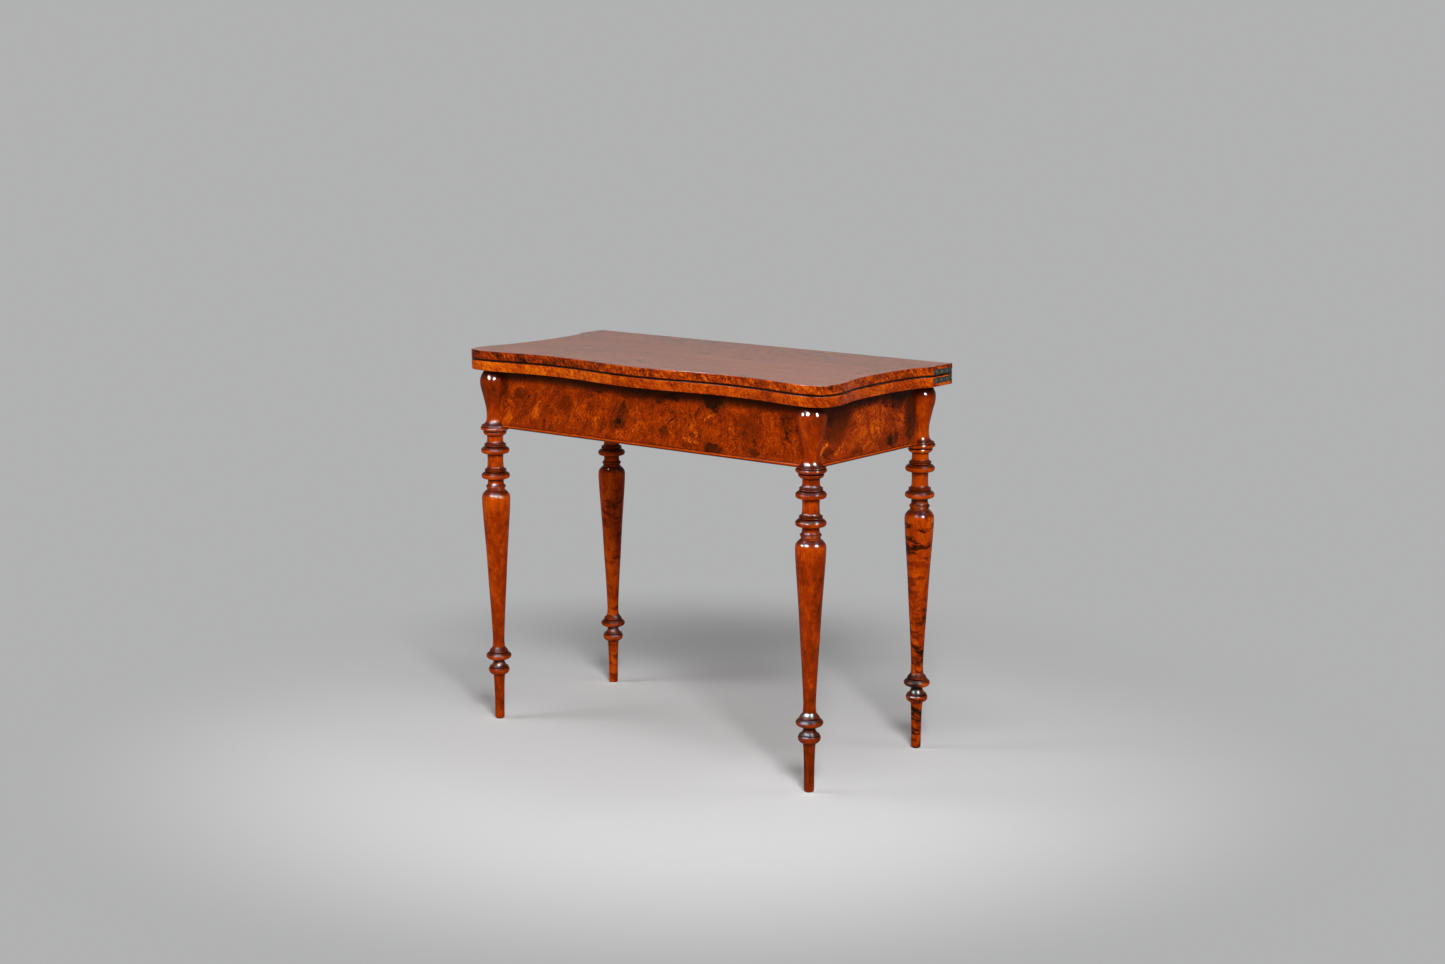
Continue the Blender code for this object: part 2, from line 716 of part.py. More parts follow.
def plate_outline(face, into, extra):
    """A hinge plate on a leaf's end, with its round ear at the pivot."""
    c = HINGE_PIVOT_DEPTH
    radius = HINGE_EAR_RADIUS + extra
    near = HINGE_PLATE_STRIP - extra
    far = HINGE_PLATE_STRIP + HINGE_PLATE_WIDTH + extra
    front = back_edge - HINGE_PLATE_LENGTH - extra
    rise = math.degrees(math.asin(max(-1.0, min(1.0, (c - near) / radius))))
    points = [hinge_point(face, into, front, near), hinge_point(face, into, front, far)]
    points.append(hinge_point(face, into, hinge_y + radius, far))
    for y, depth in arc((hinge_y, c), radius, 0, -180 + rise, HINGE_ARC_STEPS):
        points.append(hinge_point(face, into, y, depth))
    return points


def link_sweep_outline(face, into):
    """The room at the corner that a link needs from its closed to its open place."""
    c = HINGE_PIVOT_DEPTH
    radius = HINGE_EAR_RADIUS + SEAT_GAP
    points = [hinge_point(face, into, back_edge + OVERRUN, -OVERRUN)]
    points.append(hinge_point(face, into, back_edge + OVERRUN, c + radius))
    for y, depth in arc((hinge_y, c), radius, 90, 180, HINGE_ARC_STEPS // 2):
        points.append(hinge_point(face, into, y, depth))
    points.append(hinge_point(face, into, hinge_y - radius, -OVERRUN))
    return points


def hinge_screw_places(face, into):
    first = back_edge - HINGE_PLATE_LENGTH + HINGE_SCREW_END_SPACE
    last = hinge_y - HINGE_EAR_RADIUS - HINGE_SCREW_END_SPACE
    depth = HINGE_PLATE_STRIP + HINGE_PLATE_WIDTH / 2
    places = []
    for side in (-1, 1):
        for i in range(HINGE_SCREW_COUNT):
            y = first + (last - first) * i / (HINGE_SCREW_COUNT - 1)
            point = (side * half_width, y, face + into * depth)
            places.append((point, (float(side), 0.0, 0.0)))
    return places


def dress_leaf(body, name, face, into, brass):
    """Rounds the fold corner and lets the hinge plates, pins and screws into both ends."""
    z = face + into * HINGE_PIVOT_DEPTH
    mesh = bmesh.new()
    reach = half_width + OVERRUN
    add_prism(mesh, fold_corner_outline(face, into), "x", -reach, reach)
    cut(body, make_object(name + "_fold_round", mesh))
    screw_holes = make_screws(name + "_hinge_screw", hinge_screw_places(face, into), brass)
    holes = bmesh.new()
    for side, side_name in ((-1, "left"), (1, "right")):
        outer = side * half_width
        inner = side * (half_width - HINGE_PIN_LENGTH)
        mesh = bmesh.new()
        add_rod(mesh, HINGE_PIN_RADIUS, (inner, hinge_y, z), (outer, hinge_y, z), PEG_SEGMENTS)
        make_object(name + "_hinge_pin_" + side_name, mesh, brass, smooth=True)
        inner -= side * SEAT_GAP
        outer += side * OVERRUN
        add_rod(holes, HINGE_PIN_RADIUS + SEAT_GAP, (inner, hinge_y, z), (outer, hinge_y, z), PEG_SEGMENTS)
    pin_holes = make_object(name + "_hinge_pin_holes", holes)
    for side, side_name in ((-1, "left"), (1, "right")):
        outer = side * half_width
        beyond = outer + side * OVERRUN
        inner = outer - side * HINGE_PLATE_THICKNESS
        mesh = bmesh.new()
        add_prism(mesh, plate_outline(face, into, SEAT_GAP), "x", inner - side * SEAT_GAP, beyond)
        cut(body, make_object(name + "_plate_pocket_" + side_name, mesh))
        mesh = bmesh.new()
        recess = outer - side * (LINK_THICKNESS + SEAT_GAP)
        add_prism(mesh, link_sweep_outline(face, into), "x", recess, beyond)
        sweep = make_object(name + "_link_room_" + side_name, mesh)
        cut(body, sweep)
        mesh = bmesh.new()
        add_prism(mesh, plate_outline(face, into, 0.0), "x", inner, outer)
        plate = make_object(name + "_hinge_plate_" + side_name, mesh, brass)
        cut(plate, sweep)
        cut(plate, pin_holes)
        cut(plate, screw_holes)
    cut(body, pin_holes)
    cut(body, screw_holes)
    return pin_holes


def make_links(lower_holes, upper_holes, brass):
    """The two links that join the plates' ears, flush with the ends of the leaves."""
    low = (hinge_y, lower_hinge_z)
    high = (hinge_y, upper_hinge_z)
    outline = arc(low, HINGE_EAR_RADIUS, 180, 360, HINGE_ARC_STEPS)
    outline += arc(high, HINGE_EAR_RADIUS, 0, 180, HINGE_ARC_STEPS)
    for side, side_name in ((-1, "left"), (1, "right")):
        outer = side * half_width
        mesh = bmesh.new()
        add_prism(mesh, outline, "x", outer - side * LINK_THICKNESS, outer)
        link = make_object("hinge_link_" + side_name, mesh, brass)
        cut(link, lower_holes)
        cut(link, upper_holes)


def baize_outline(extra):
    reach_x = half_width - BAIZE_SIDE_MARGIN + extra
    front = front_edge + BAIZE_FRONT_MARGIN - extra
    back = hinge_y - SEAT_GAP + extra
    radius = BAIZE_CORNER
    points = [(reach_x, back), (-reach_x, back)]
    points += arc((-reach_x + radius, front + radius), radius, 180, 270, BAIZE_CORNER_STEPS)
    points += arc((reach_x - radius, front + radius), radius, 270, 360, BAIZE_CORNER_STEPS)
    return points


def make_baize(body, name, face, into, baize):
    """Baize let into the playing face, with its surface just under the wood's."""
    floor = face + into * BAIZE_RECESS
    mesh = bmesh.new()
    add_prism(mesh, baize_outline(SEAT_GAP), "z", floor, face - into * OVERRUN)
    cut(body, make_object(name + "_baize_recess", mesh))
    seat = floor - into * SEAT_GAP
    mesh = bmesh.new()
    add_prism(mesh, baize_outline(0.0), "z", seat, seat - into * BAIZE_THICKNESS)
    make_object(name + "_baize", mesh, baize)


def make_table():
    polished = make_material("polished_wood", (0.33, 0.085, 0.018), 0.25)
    plain = make_material("plain_wood", (0.52, 0.33, 0.16), 0.65)
    brass = make_material("aged_brass", (0.20, 0.17, 0.10), 0.45, 1.0)
    iron = make_material("dark_iron", (0.10, 0.095, 0.09), 0.55, 1.0)
    baize = make_material("green_baize", (0.03, 0.13, 0.05), 0.95)
    places = leg_places()
    leg_cutter = make_leg_cutter(places)
    make_legs(places, make_mortise_cutter(), polished)
    make_rails(leg_cutter, polished)
    make_beads(leg_cutter, polished)
    make_corner_blocks(leg_cutter, plain)
    make_well(plain)
    lower = leaf("lower_leaf", leaf_underside, polished)
    upper = leaf("upper_leaf", upper_face, polished)
    make_baize(lower, "lower", lower_face, -1, baize)
    make_baize(upper, "upper", upper_face, 1, baize)
    lower_holes = dress_leaf(lower, "lower", lower_face, -1, brass)
    upper_holes = dress_leaf(upper, "upper", upper_face, 1, brass)
    make_links(lower_holes, upper_holes, brass)
    make_pivot(lower, iron, plain)
    make_stop_peg(lower, plain)


clear_scene()
make_table()
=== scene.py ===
"""Dresses the games table: fine turnings, figured and polished wood, baize and old brass.

Metres, +Z up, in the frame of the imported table: the front is at -Y and the hinged edge at +Y.
"""

import bisect
import json
import math

import bmesh
import bpy
from bpy.props import FloatProperty, FloatVectorProperty, IntProperty, PointerProperty
from mathutils import Matrix, Vector

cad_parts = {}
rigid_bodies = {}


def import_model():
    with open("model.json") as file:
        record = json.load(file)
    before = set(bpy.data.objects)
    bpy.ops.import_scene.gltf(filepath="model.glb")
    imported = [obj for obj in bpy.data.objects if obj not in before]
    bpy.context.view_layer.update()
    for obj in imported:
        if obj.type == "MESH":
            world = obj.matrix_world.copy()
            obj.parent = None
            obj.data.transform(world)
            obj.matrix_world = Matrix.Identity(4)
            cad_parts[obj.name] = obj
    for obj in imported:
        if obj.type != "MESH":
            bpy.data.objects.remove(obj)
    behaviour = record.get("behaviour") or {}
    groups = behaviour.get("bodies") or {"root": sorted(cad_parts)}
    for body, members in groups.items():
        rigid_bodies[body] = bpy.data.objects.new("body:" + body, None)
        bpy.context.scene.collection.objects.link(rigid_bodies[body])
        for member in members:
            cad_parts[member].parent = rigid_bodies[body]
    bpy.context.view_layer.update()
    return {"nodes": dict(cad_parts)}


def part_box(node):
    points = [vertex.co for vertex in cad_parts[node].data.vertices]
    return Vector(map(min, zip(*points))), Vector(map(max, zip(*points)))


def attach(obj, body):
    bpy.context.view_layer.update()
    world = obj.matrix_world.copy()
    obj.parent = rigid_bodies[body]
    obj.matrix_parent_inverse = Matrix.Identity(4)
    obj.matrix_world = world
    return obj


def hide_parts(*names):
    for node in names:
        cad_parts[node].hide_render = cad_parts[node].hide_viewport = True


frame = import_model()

bl_info = {
    "name": "Games Table",
    "version": (1, 0, 0),
    "blender": (4, 5, 0),
    "location": "3D View > Sidebar > Games Table",
    "description": "Builds the fine surfaces of a fold-over games table and its studio",
    "category": "Object",
}

RIGHT = (1.0, 0.0, 0.0)
BACK = (0.0, 1.0, 0.0)
UP = (0.0, 0.0, 1.0)
SIDES = (("left", -1), ("right", 1))
LEAF_BODIES = (("lower", "lower_top"), ("upper", "upper_top"))
HINGE_SCREWS = 6
PIVOT_SCREWS = 4
SLOT_ANGLES = [0.35, 1.25, 2.20, 0.80, 2.75, 1.70]

# Facets of the small rounded parts
FOLD_STEPS = 16
EAR_STEPS = 14
ROOM_STEPS = 8
CORNER_STEPS = 10
BEAD_STEPS = 14
SMALL_SEGMENTS = 24

# Inset of a leaf's broad face behind its rounded arris, in radii of the arris, and the least
# upright part of a normal on such a face
FACE_INSET_SHARE = 2.2
FACE_NORMAL_SHARE = 0.95

# Edges sharper than this stay crisp, in degrees; the screws' small domes are shaded rounder
CRISP_ANGLE = 30.0
SCREW_CRISP_ANGLE = 40.0

# Places of painted shade and painted highlight in metres, each from none to full: painted shadow
# below the top of the frieze and of a leg, painted shade up from the joint of the leaves, painted
# shade and a painted highlight up from the foot of the bead, and a darkening in front of the fold
FRIEZE_SHADOW = (0.026, 0.008)
LEG_TOP_SHADOW = (0.022, 0.004)
JOINT_SHADE_BELOW = (-0.0012, -0.0002)
JOINT_SHADE_ABOVE = (0.0044, 0.0030)
BEAD_SHADE_ABOVE = (0.0058, 0.0066)
BEAD_SHADE_BELOW = (0.0024, 0.0006)
BEAD_HIGHLIGHT_BELOW = (0.0034, 0.0044)
BEAD_HIGHLIGHT_ABOVE = (0.0060, 0.0050)
FOLD_DARKENING = (0.0035, 0.0023)

# Depth of the finest relief in metres: pores under the polish, planed grain, nap of the baize,
# and the pitting of the metals
PORE_DEPTH = 0.0001
PLANED_DEPTH = 0.00025
NAP_DEPTH = 0.0004
BRASS_DEPTH = 0.00012
STEEL_DEPTH = 0.00006
IRON_DEPTH = 0.0003

# The upper leaf's darker front left, from none to full along X and Y, the speckled part of the
# top behind, and the skin under the top face that has the specks
LEFT_SHADE_X = (0.10, -0.28)
LEFT_SHADE_Y = (0.12, -0.02)
SPECKLED = (0.00, 0.15)
TOP_SKIN = (-0.006, -0.002)

# Legs: the pith beside a leg's axis, the heights where the flames across fade out, and the edge
# of the darker right side
PITH = (-0.045, 0.030)
FLAME_TOP = (0.54, 0.48)
RIGHT_SHADE = (-0.004, 0.018)

# Studio, in metres
KEY_PLACE = (2.7, -2.5, 3.0)
FILL_PLACE = (-2.6, -2.4, 1.9)
CEILING_PLACES = [(-0.73, -0.59, 2.55), (0.50, -0.44, 2.55), (1.10, 0.50, 2.55)]
NEAR_PLACES = [(-0.39, -1.15, 1.25), (0.41, -1.00, 1.25), (1.51, -0.29, 1.25)]
LAMP_TARGET = Vector((0.0, 0.0, 0.5))
SOFT_WIDTH = 1.3
CEILING_WIDTH = 0.40
NEAR_WIDTH = 0.24
FLOOR_RADIUS = 40.0
FLOOR_SEGMENTS = 96
FLOOR_FADE = (0.60, 1.35)
SENSOR_MM = 36.0

# Outline of the leaves: share of the half width, share of the depth behind the front
OUTLINE_SHARES = [
    (0.000, 0.000), (0.105, 0.005), (0.205, 0.017), (0.295, 0.031), (0.385, 0.043),
    (0.475, 0.047), (0.565, 0.045), (0.655, 0.035), (0.745, 0.019), (0.825, 0.005),
    (0.887, 0.000), (0.940, 0.006), (0.978, 0.028), (0.993, 0.068), (0.997, 0.118),
    (0.991, 0.168), (0.980, 0.216), (0.969, 0.264), (0.960, 0.317), (0.954, 0.384),
    (0.951, 0.468), (0.951, 0.552), (0.954, 0.628), (0.962, 0.707), (0.974, 0.779),
    (0.989, 0.812),
]

# Turned members of a leg, each a list of smooth runs with a crisp edge between two runs.
# A point is a share of the member's height and of the way from its neck to its full radius.
FOOT_SHARES = [
    [(0.000, -1.30), (0.012, -0.80), (0.034, -0.28), (0.070, -0.08), (0.400, 0.02),
     (0.700, 0.25), (0.900, 0.50), (1.000, 0.80)],
]
LOW_RING_SHARES = [
    [(0.00, -0.05), (0.10, 0.00), (0.15, 0.06)],
    [(0.17, 0.24), (0.22, 0.58), (0.31, 0.84), (0.41, 0.97), (0.50, 1.00), (0.58, 0.95), (0.64, 0.80)],
    [(0.65, 0.52), (0.68, 0.52)],
    [(0.685, 0.72), (0.71, 0.76), (0.735, 0.68)],
    [(0.745, 0.46), (0.80, 0.30), (0.88, 0.14), (0.95, 0.02), (1.00, -0.05)],
]
ANKLE_RING_SHARES = [
    [(0.00, -0.05), (0.02, 0.20), (0.05, 0.48)],
    [(0.06, 0.60), (0.12, 0.82), (0.20, 0.95), (0.29, 1.00), (0.38, 0.97), (0.46, 0.85), (0.53, 0.68),
     (0.56, 0.55)],
    [(0.57, 0.28), (0.61, 0.28)],
    [(0.62, 0.46), (0.65, 0.52), (0.69, 0.50), (0.71, 0.42)],
    [(0.715, 0.28), (0.735, 0.28)],
    [(0.74, 0.42), (0.77, 0.40)],
    [(0.78, 0.34), (0.84, 0.24), (0.91, 0.13), (0.96, 0.06), (1.00, 0.03)],
]
SHAFT_SHARES = [
    [(0.00, 0.03), (0.04, -0.02), (0.11, 0.02), (0.22, 0.12), (0.33, 0.235), (0.44, 0.365),
     (0.55, 0.475), (0.66, 0.59), (0.76, 0.72), (0.86, 0.85), (0.94, 0.95), (1.00, 0.995)],
]
SHOULDER_SHARES = [
    [(0.18, 1.00), (0.36, 0.965), (0.50, 0.88), (0.62, 0.74), (0.72, 0.58), (0.80, 0.42), (0.86, 0.30)],
    [(0.88, 0.16), (0.97, 0.14)],
]
SMALL_RING_SHARES = [
    [(0.00, 0.20), (0.05, 0.50), (0.10, 0.62), (0.15, 0.52)],
    [(0.16, 0.10), (0.20, 0.10)],
    [(0.21, 0.88), (0.25, 1.00), (0.30, 0.94)],
    [(0.31, 0.84), (0.38, 0.50), (0.47, 0.20), (0.57, 0.02), (0.75, -0.06), (1.00, -0.04)],
]
RING_SHARES = [
    [(0.000, -0.04), (0.015, 0.16), (0.030, 0.42)],
    [(0.04, 0.58), (0.09, 0.84), (0.17, 0.96), (0.27, 1.00), (0.36, 0.96), (0.43, 0.83), (0.49, 0.66),
     (0.53, 0.50)],
    [(0.54, 0.10), (0.585, 0.10)],
    [(0.59, 0.34), (0.61, 0.45), (0.64, 0.45), (0.66, 0.34)],
    [(0.665, 0.12), (0.69, 0.12)],
    [(0.695, 0.38), (0.72, 0.45), (0.74, 0.43)],
    [(0.75, 0.34), (0.80, 0.18), (0.87, 0.05), (1.00, -0.02)],
]
SPINDLE_SHARES = [
    [(0.00, 0.00), (0.25, -0.03), (0.60, -0.04), (0.90, 0.00), (1.00, 0.04)],
]
COLLAR_SHARES = [
    [(0.00, 0.00), (0.14, -0.02), (0.25, 0.00)],
    [(0.26, -0.04), (0.285, -0.04)],
    [(0.29, 0.18), (0.33, 0.38), (0.39, 0.52), (0.46, 0.61), (0.49, 0.60)],
    [(0.50, 0.26), (0.55, 0.26)],
    [(0.56, 0.60), (0.60, 0.84), (0.65, 0.96), (0.71, 1.00), (0.76, 0.95), (0.79, 0.86)],
    [(0.80, 0.62), (0.82, 0.62)],
    [(0.825, 0.80), (0.85, 0.86), (0.88, 0.82), (0.895, 0.74)],
    [(0.90, 0.62), (0.93, 0.50), (0.965, 0.37), (1.00, 0.27)],
]
COLLAR_PEAK_SHARE = 0.75
VASE_SHARES = [
    [(0.00, 0.28), (0.025, 0.16), (0.06, 0.06), (0.12, 0.00), (0.20, 0.015), (0.28, 0.08), (0.37, 0.24),
     (0.46, 0.43), (0.55, 0.62), (0.64, 0.84), (0.70, 0.95), (0.765, 1.00), (0.83, 0.95), (0.89, 0.77),
     (0.94, 0.53), (0.975, 0.34), (1.00, 0.20)],
]

# Scales at which a groove gets dirt and painted shade: reach along the leg, depth that counts as
# full, share of the higher side in the mean of both, weight
GROOVE_SCALES = [(0.0018, 0.0014, 0.10, 0.90), (0.0070, 0.0110, 0.40, 0.35)]


def length_prop(name, description, default):
    return FloatProperty(name=name, description=description, default=default, unit="LENGTH")


def count_prop(name, description, default, least):
    return IntProperty(name=name, description=description, default=default, min=least)


def colour_prop(name, description, *default):
    look = {"subtype": "COLOR", "min": 0.0, "max": 1.0}
    return FloatVectorProperty(name=name, description=description, default=default, **look)


def power_prop(name, description, default):
    return FloatProperty(name=name, description=description, default=default, subtype="POWER")


class TableSizes(bpy.types.PropertyGroup):
    """Sizes of the fine surfaces; the main sizes come from the frame."""

    foot_radius: length_prop("Foot radius", "Radius of the foot above the floor", 0.0097)
    foot_height: length_prop("Foot height", "Height of the plain foot", 0.0885)
    ankle_radius: length_prop("Ankle radius", "Thinnest part between the lower rings", 0.0121)
    low_ring_height: length_prop("Low ring height", "Height of the lowest ring", 0.0305)
    low_ring_radius: length_prop("Low ring radius", "Full radius of the lowest ring", 0.0213)
    ankle_gap: length_prop("Ankle gap", "Plain stretch between the lower rings", 0.005)
    ring_height: length_prop("Ring height", "Height of a ring with its fillets", 0.028)
    ankle_ring_radius: length_prop("Ankle ring radius", "Full radius of the ankle ring", 0.0256)
    bulge_radius: length_prop("Bulge radius", "Thickest part of the tapered shaft", 0.0286)
    shoulder_height: length_prop("Shoulder height", "Height of the rounded shoulder", 0.0235)
    small_ring_height: length_prop("Small ring height", "Height of the small ring", 0.0195)
    small_ring_radius: length_prop("Small ring radius", "Full radius of the small ring", 0.0203)
    spindle_radius: length_prop("Spindle radius", "Radius between the large rings", 0.0163)
    spindle_height: length_prop("Spindle height", "Plain stretch between the large rings", 0.0235)
    ring_radius: length_prop("Ring radius", "Full radius of the two large rings", 0.0286)
    collar_height: length_prop("Collar height", "Height of the double collar", 0.035)
    collar_radius: length_prop("Collar radius", "Full radius of the collar", 0.0288)
    vase_neck_radius: length_prop("Vase neck radius", "Neck of the vase", 0.0160)
    vase_radius: length_prop("Vase radius", "Full radius of the vase", 0.0281)
    turning_segments: count_prop("Turning segments", "Sides of a turned leg", 96, 16)
    turning_steps: count_prop("Turning steps", "Points between two shares of a profile", 3, 1)
    fit: length_prop("Fit", "Clearance between two pieces that touch", 0.0003)
    rail_end_inset: length_prop("Rail end inset", "Side rail's end behind the leg's axis", 0.012)
    tenon_thickness: length_prop("Tenon thickness", "Thickness of a stub tenon", 0.008)
    tenon_height: length_prop("Tenon height", "Height of a stub tenon", 0.050)
    tenon_drop: length_prop("Tenon drop", "Top of a tenon under the top of its rail", 0.012)
    tenon_root: length_prop("Tenon root", "Length of a tenon with its root in the rail", 0.024)
    overrun: length_prop("Overrun", "How far a cut runs past the piece it cuts", 0.004)
    arris_radius: length_prop("Arris radius", "Rounding of the leaves' edges", 0.0018)
    arris_steps: count_prop("Arris steps", "Facets of a leaf's rounded edge", 4, 1)
    outline_steps: count_prop("Outline steps", "Points between two shares of a leaf's outline", 8, 1)
    hinge_flat: length_prop("Hinge flat", "Straight part of a leaf's end at the hinge", 0.066)
    pivot_depth: length_prop("Hinge pivot depth", "Hinge pivots from the playing face", 0.0045)
    plate_length: length_prop("Hinge plate length", "Length of a hinge plate", 0.063)
    plate_width: length_prop("Hinge plate width", "Width of a hinge plate", 0.0095)
    plate_strip: length_prop("Hinge plate strip", "Wood between a plate and the playing face", 0.003)
    plate_chamfer: length_prop("Hinge plate chamfer", "Eased edge of the brass plates", 0.0003)
    ear_radius: length_prop("Hinge ear radius", "Round end of a hinge plate and link", 0.004)
    baize_depth: length_prop("Baize recess", "Depth of the recess for the baize", 0.0015)
    baize_corner: length_prop("Baize corner", "Radius of the baize's front corners", 0.030)
    screw_head_height: length_prop("Screw head height", "Height of a countersunk head", 0.0018)
    screw_shank_radius: length_prop("Screw shank radius", "Radius of a screw's shank", 0.0015)
    slot_width: length_prop("Slot width", "Width of a screw's slot", 0.0009)
    slot_depth: length_prop("Slot depth", "Depth of a screw's slot", 0.0008)


class TableColours(bpy.types.PropertyGroup):
    """Colours of the woods, the baize and the metals, as they look in plain light."""

    deep: colour_prop("Deep figure", "Darkest flames of the figured wood", 0.014, 0.0042, 0.0006)
    brown: colour_prop("Brown", "Dark parts of the figured wood", 0.095, 0.0125, 0.0004)
    russet: colour_prop("Russet", "Main colour of the polished wood", 0.285, 0.025, 0.0003)
    orange: colour_prop("Orange", "Bright parts of the figured wood", 0.54, 0.074, 0.0004)
    gold: colour_prop("Gold", "Brightest flames of the figured wood", 0.76, 0.165, 0.0034)
    top_dark: colour_prop("Top, dark lines", "Dark grain on the broad faces", 0.095, 0.029, 0.01)
    top: colour_prop("Top", "Main colour of the broad faces", 0.3, 0.07, 0.019)
    top_light: colour_prop("Top, light lines", "Light grain on the broad faces", 0.5, 0.155, 0.055)
    bare_wood: colour_prop("Bare wood", "Unpolished wood inside the frame", 0.36, 0.205, 0.09)
    bare_wood_dark: colour_prop("Bare wood, dark", "Late growth and dirt on bare wood", 0.17, 0.08, 0.032)
    baize: colour_prop("Baize", "Green wool cloth on the playing faces", 0.016, 0.105, 0.038)
    brass: colour_prop("Tarnished brass", "Old brass of the hinges", 0.07, 0.065, 0.048)
    steel: colour_prop("Worn steel", "Screws in the hinges", 0.24, 0.235, 0.2)
    iron: colour_prop("Iron", "Pivot and its plate", 0.09, 0.085, 0.08)
    backdrop: colour_prop("Backdrop", "Pale background of the studio", 0.44, 0.442, 0.446)
    floor: colour_prop("Floor", "Pale floor of the studio", 0.74, 0.74, 0.744)


class StudioSettings(bpy.types.PropertyGroup):
    """Camera and lamps."""

    camera_place: FloatVectorProperty(
        name="Camera", description="Place of the camera", default=(2.804, -3.4867, 1.329), unit="LENGTH")
    camera_yaw: FloatProperty(
        name="Camera yaw", description="Turn to the left of straight ahead", default=math.radians(38.30),
        subtype="ANGLE")
    camera_pitch: FloatProperty(
        name="Camera pitch", description="Look down below the level", default=math.radians(10.37),
        subtype="ANGLE")
    lens: FloatProperty(name="Lens", description="Focal length in millimetres", default=57.65, min=1.0)
    ambient: FloatProperty(
        name="Ambient light", description="Strength of the light from all sides", default=0.05, min=0.0)
    key_power: power_prop("Key power", "Watts of the large soft lamp", 172.0)
    fill_power: power_prop("Fill power", "Watts of the soft lamp on the left", 34.0)
    ceiling_power: power_prop("Ceiling power", "Watts of each of the three lamps overhead", 4.0)
    glint_power: power_prop("Glint power", "Watts that each lamp overhead adds to reflections", 520.0)
    near_power: power_prop("Near power", "Watts of each lamp in front, for the legs' glints", 820.0)


class Value:
    """A shader socket in a formula: sums and products add the Math nodes."""

    def __init__(self, finish, socket):
        self.finish = finish
        self.socket = socket

    def math(self, operation, first, second):
        return self.finish.node("ShaderNodeMath", {"operation": operation}, {0: first, 1: second})

    def __add__(self, other):
        return self.math("ADD", self, other)

    def __radd__(self, other):
        return self.math("ADD", other, self)

    def __sub__(self, other):
        return self.math("SUBTRACT", self, other)

    def __rsub__(self, other):
        return self.math("SUBTRACT", other, self)

    def __mul__(self, other):
        return self.math("MULTIPLY", self, other)

    def __rmul__(self, other):
        return self.math("MULTIPLY", other, self)

    def __truediv__(self, other):
        return self.math("DIVIDE", self, other)


class Nodes:
    """A node tree under construction."""

    def __init__(self, tree):
        self.nodes = tree.nodes
        self.links = tree.links

    def node(self, kind, settings=None, values=None, output=0):
        """Any node: its settings first, then the values or links of its sockets."""
        node = self.nodes.new(kind)
        for name, value in (settings or {}).items():
            if name == "stops":
                self.set_stops(node.color_ramp, value)
            else:
                setattr(node, name, value)
        for name, value in (values or {}).items():
            self.plug(node.inputs[name], value)
        return Value(self, node.outputs[output])

    def plug(self, socket, value):
        if isinstance(value, Value):
            self.links.new(value.socket, socket)
        elif socket.type == "RGBA" and len(value) == 3:
            socket.default_value = (*value, 1.0)
        else:
            socket.default_value = value

    def set_stops(self, ramp, stops):
        while len(ramp.elements) < len(stops):
            ramp.elements.new(1.0)
        for element, (position, colour) in zip(ramp.elements, stops):
            element.position = position
            element.color = (*colour, 1.0)


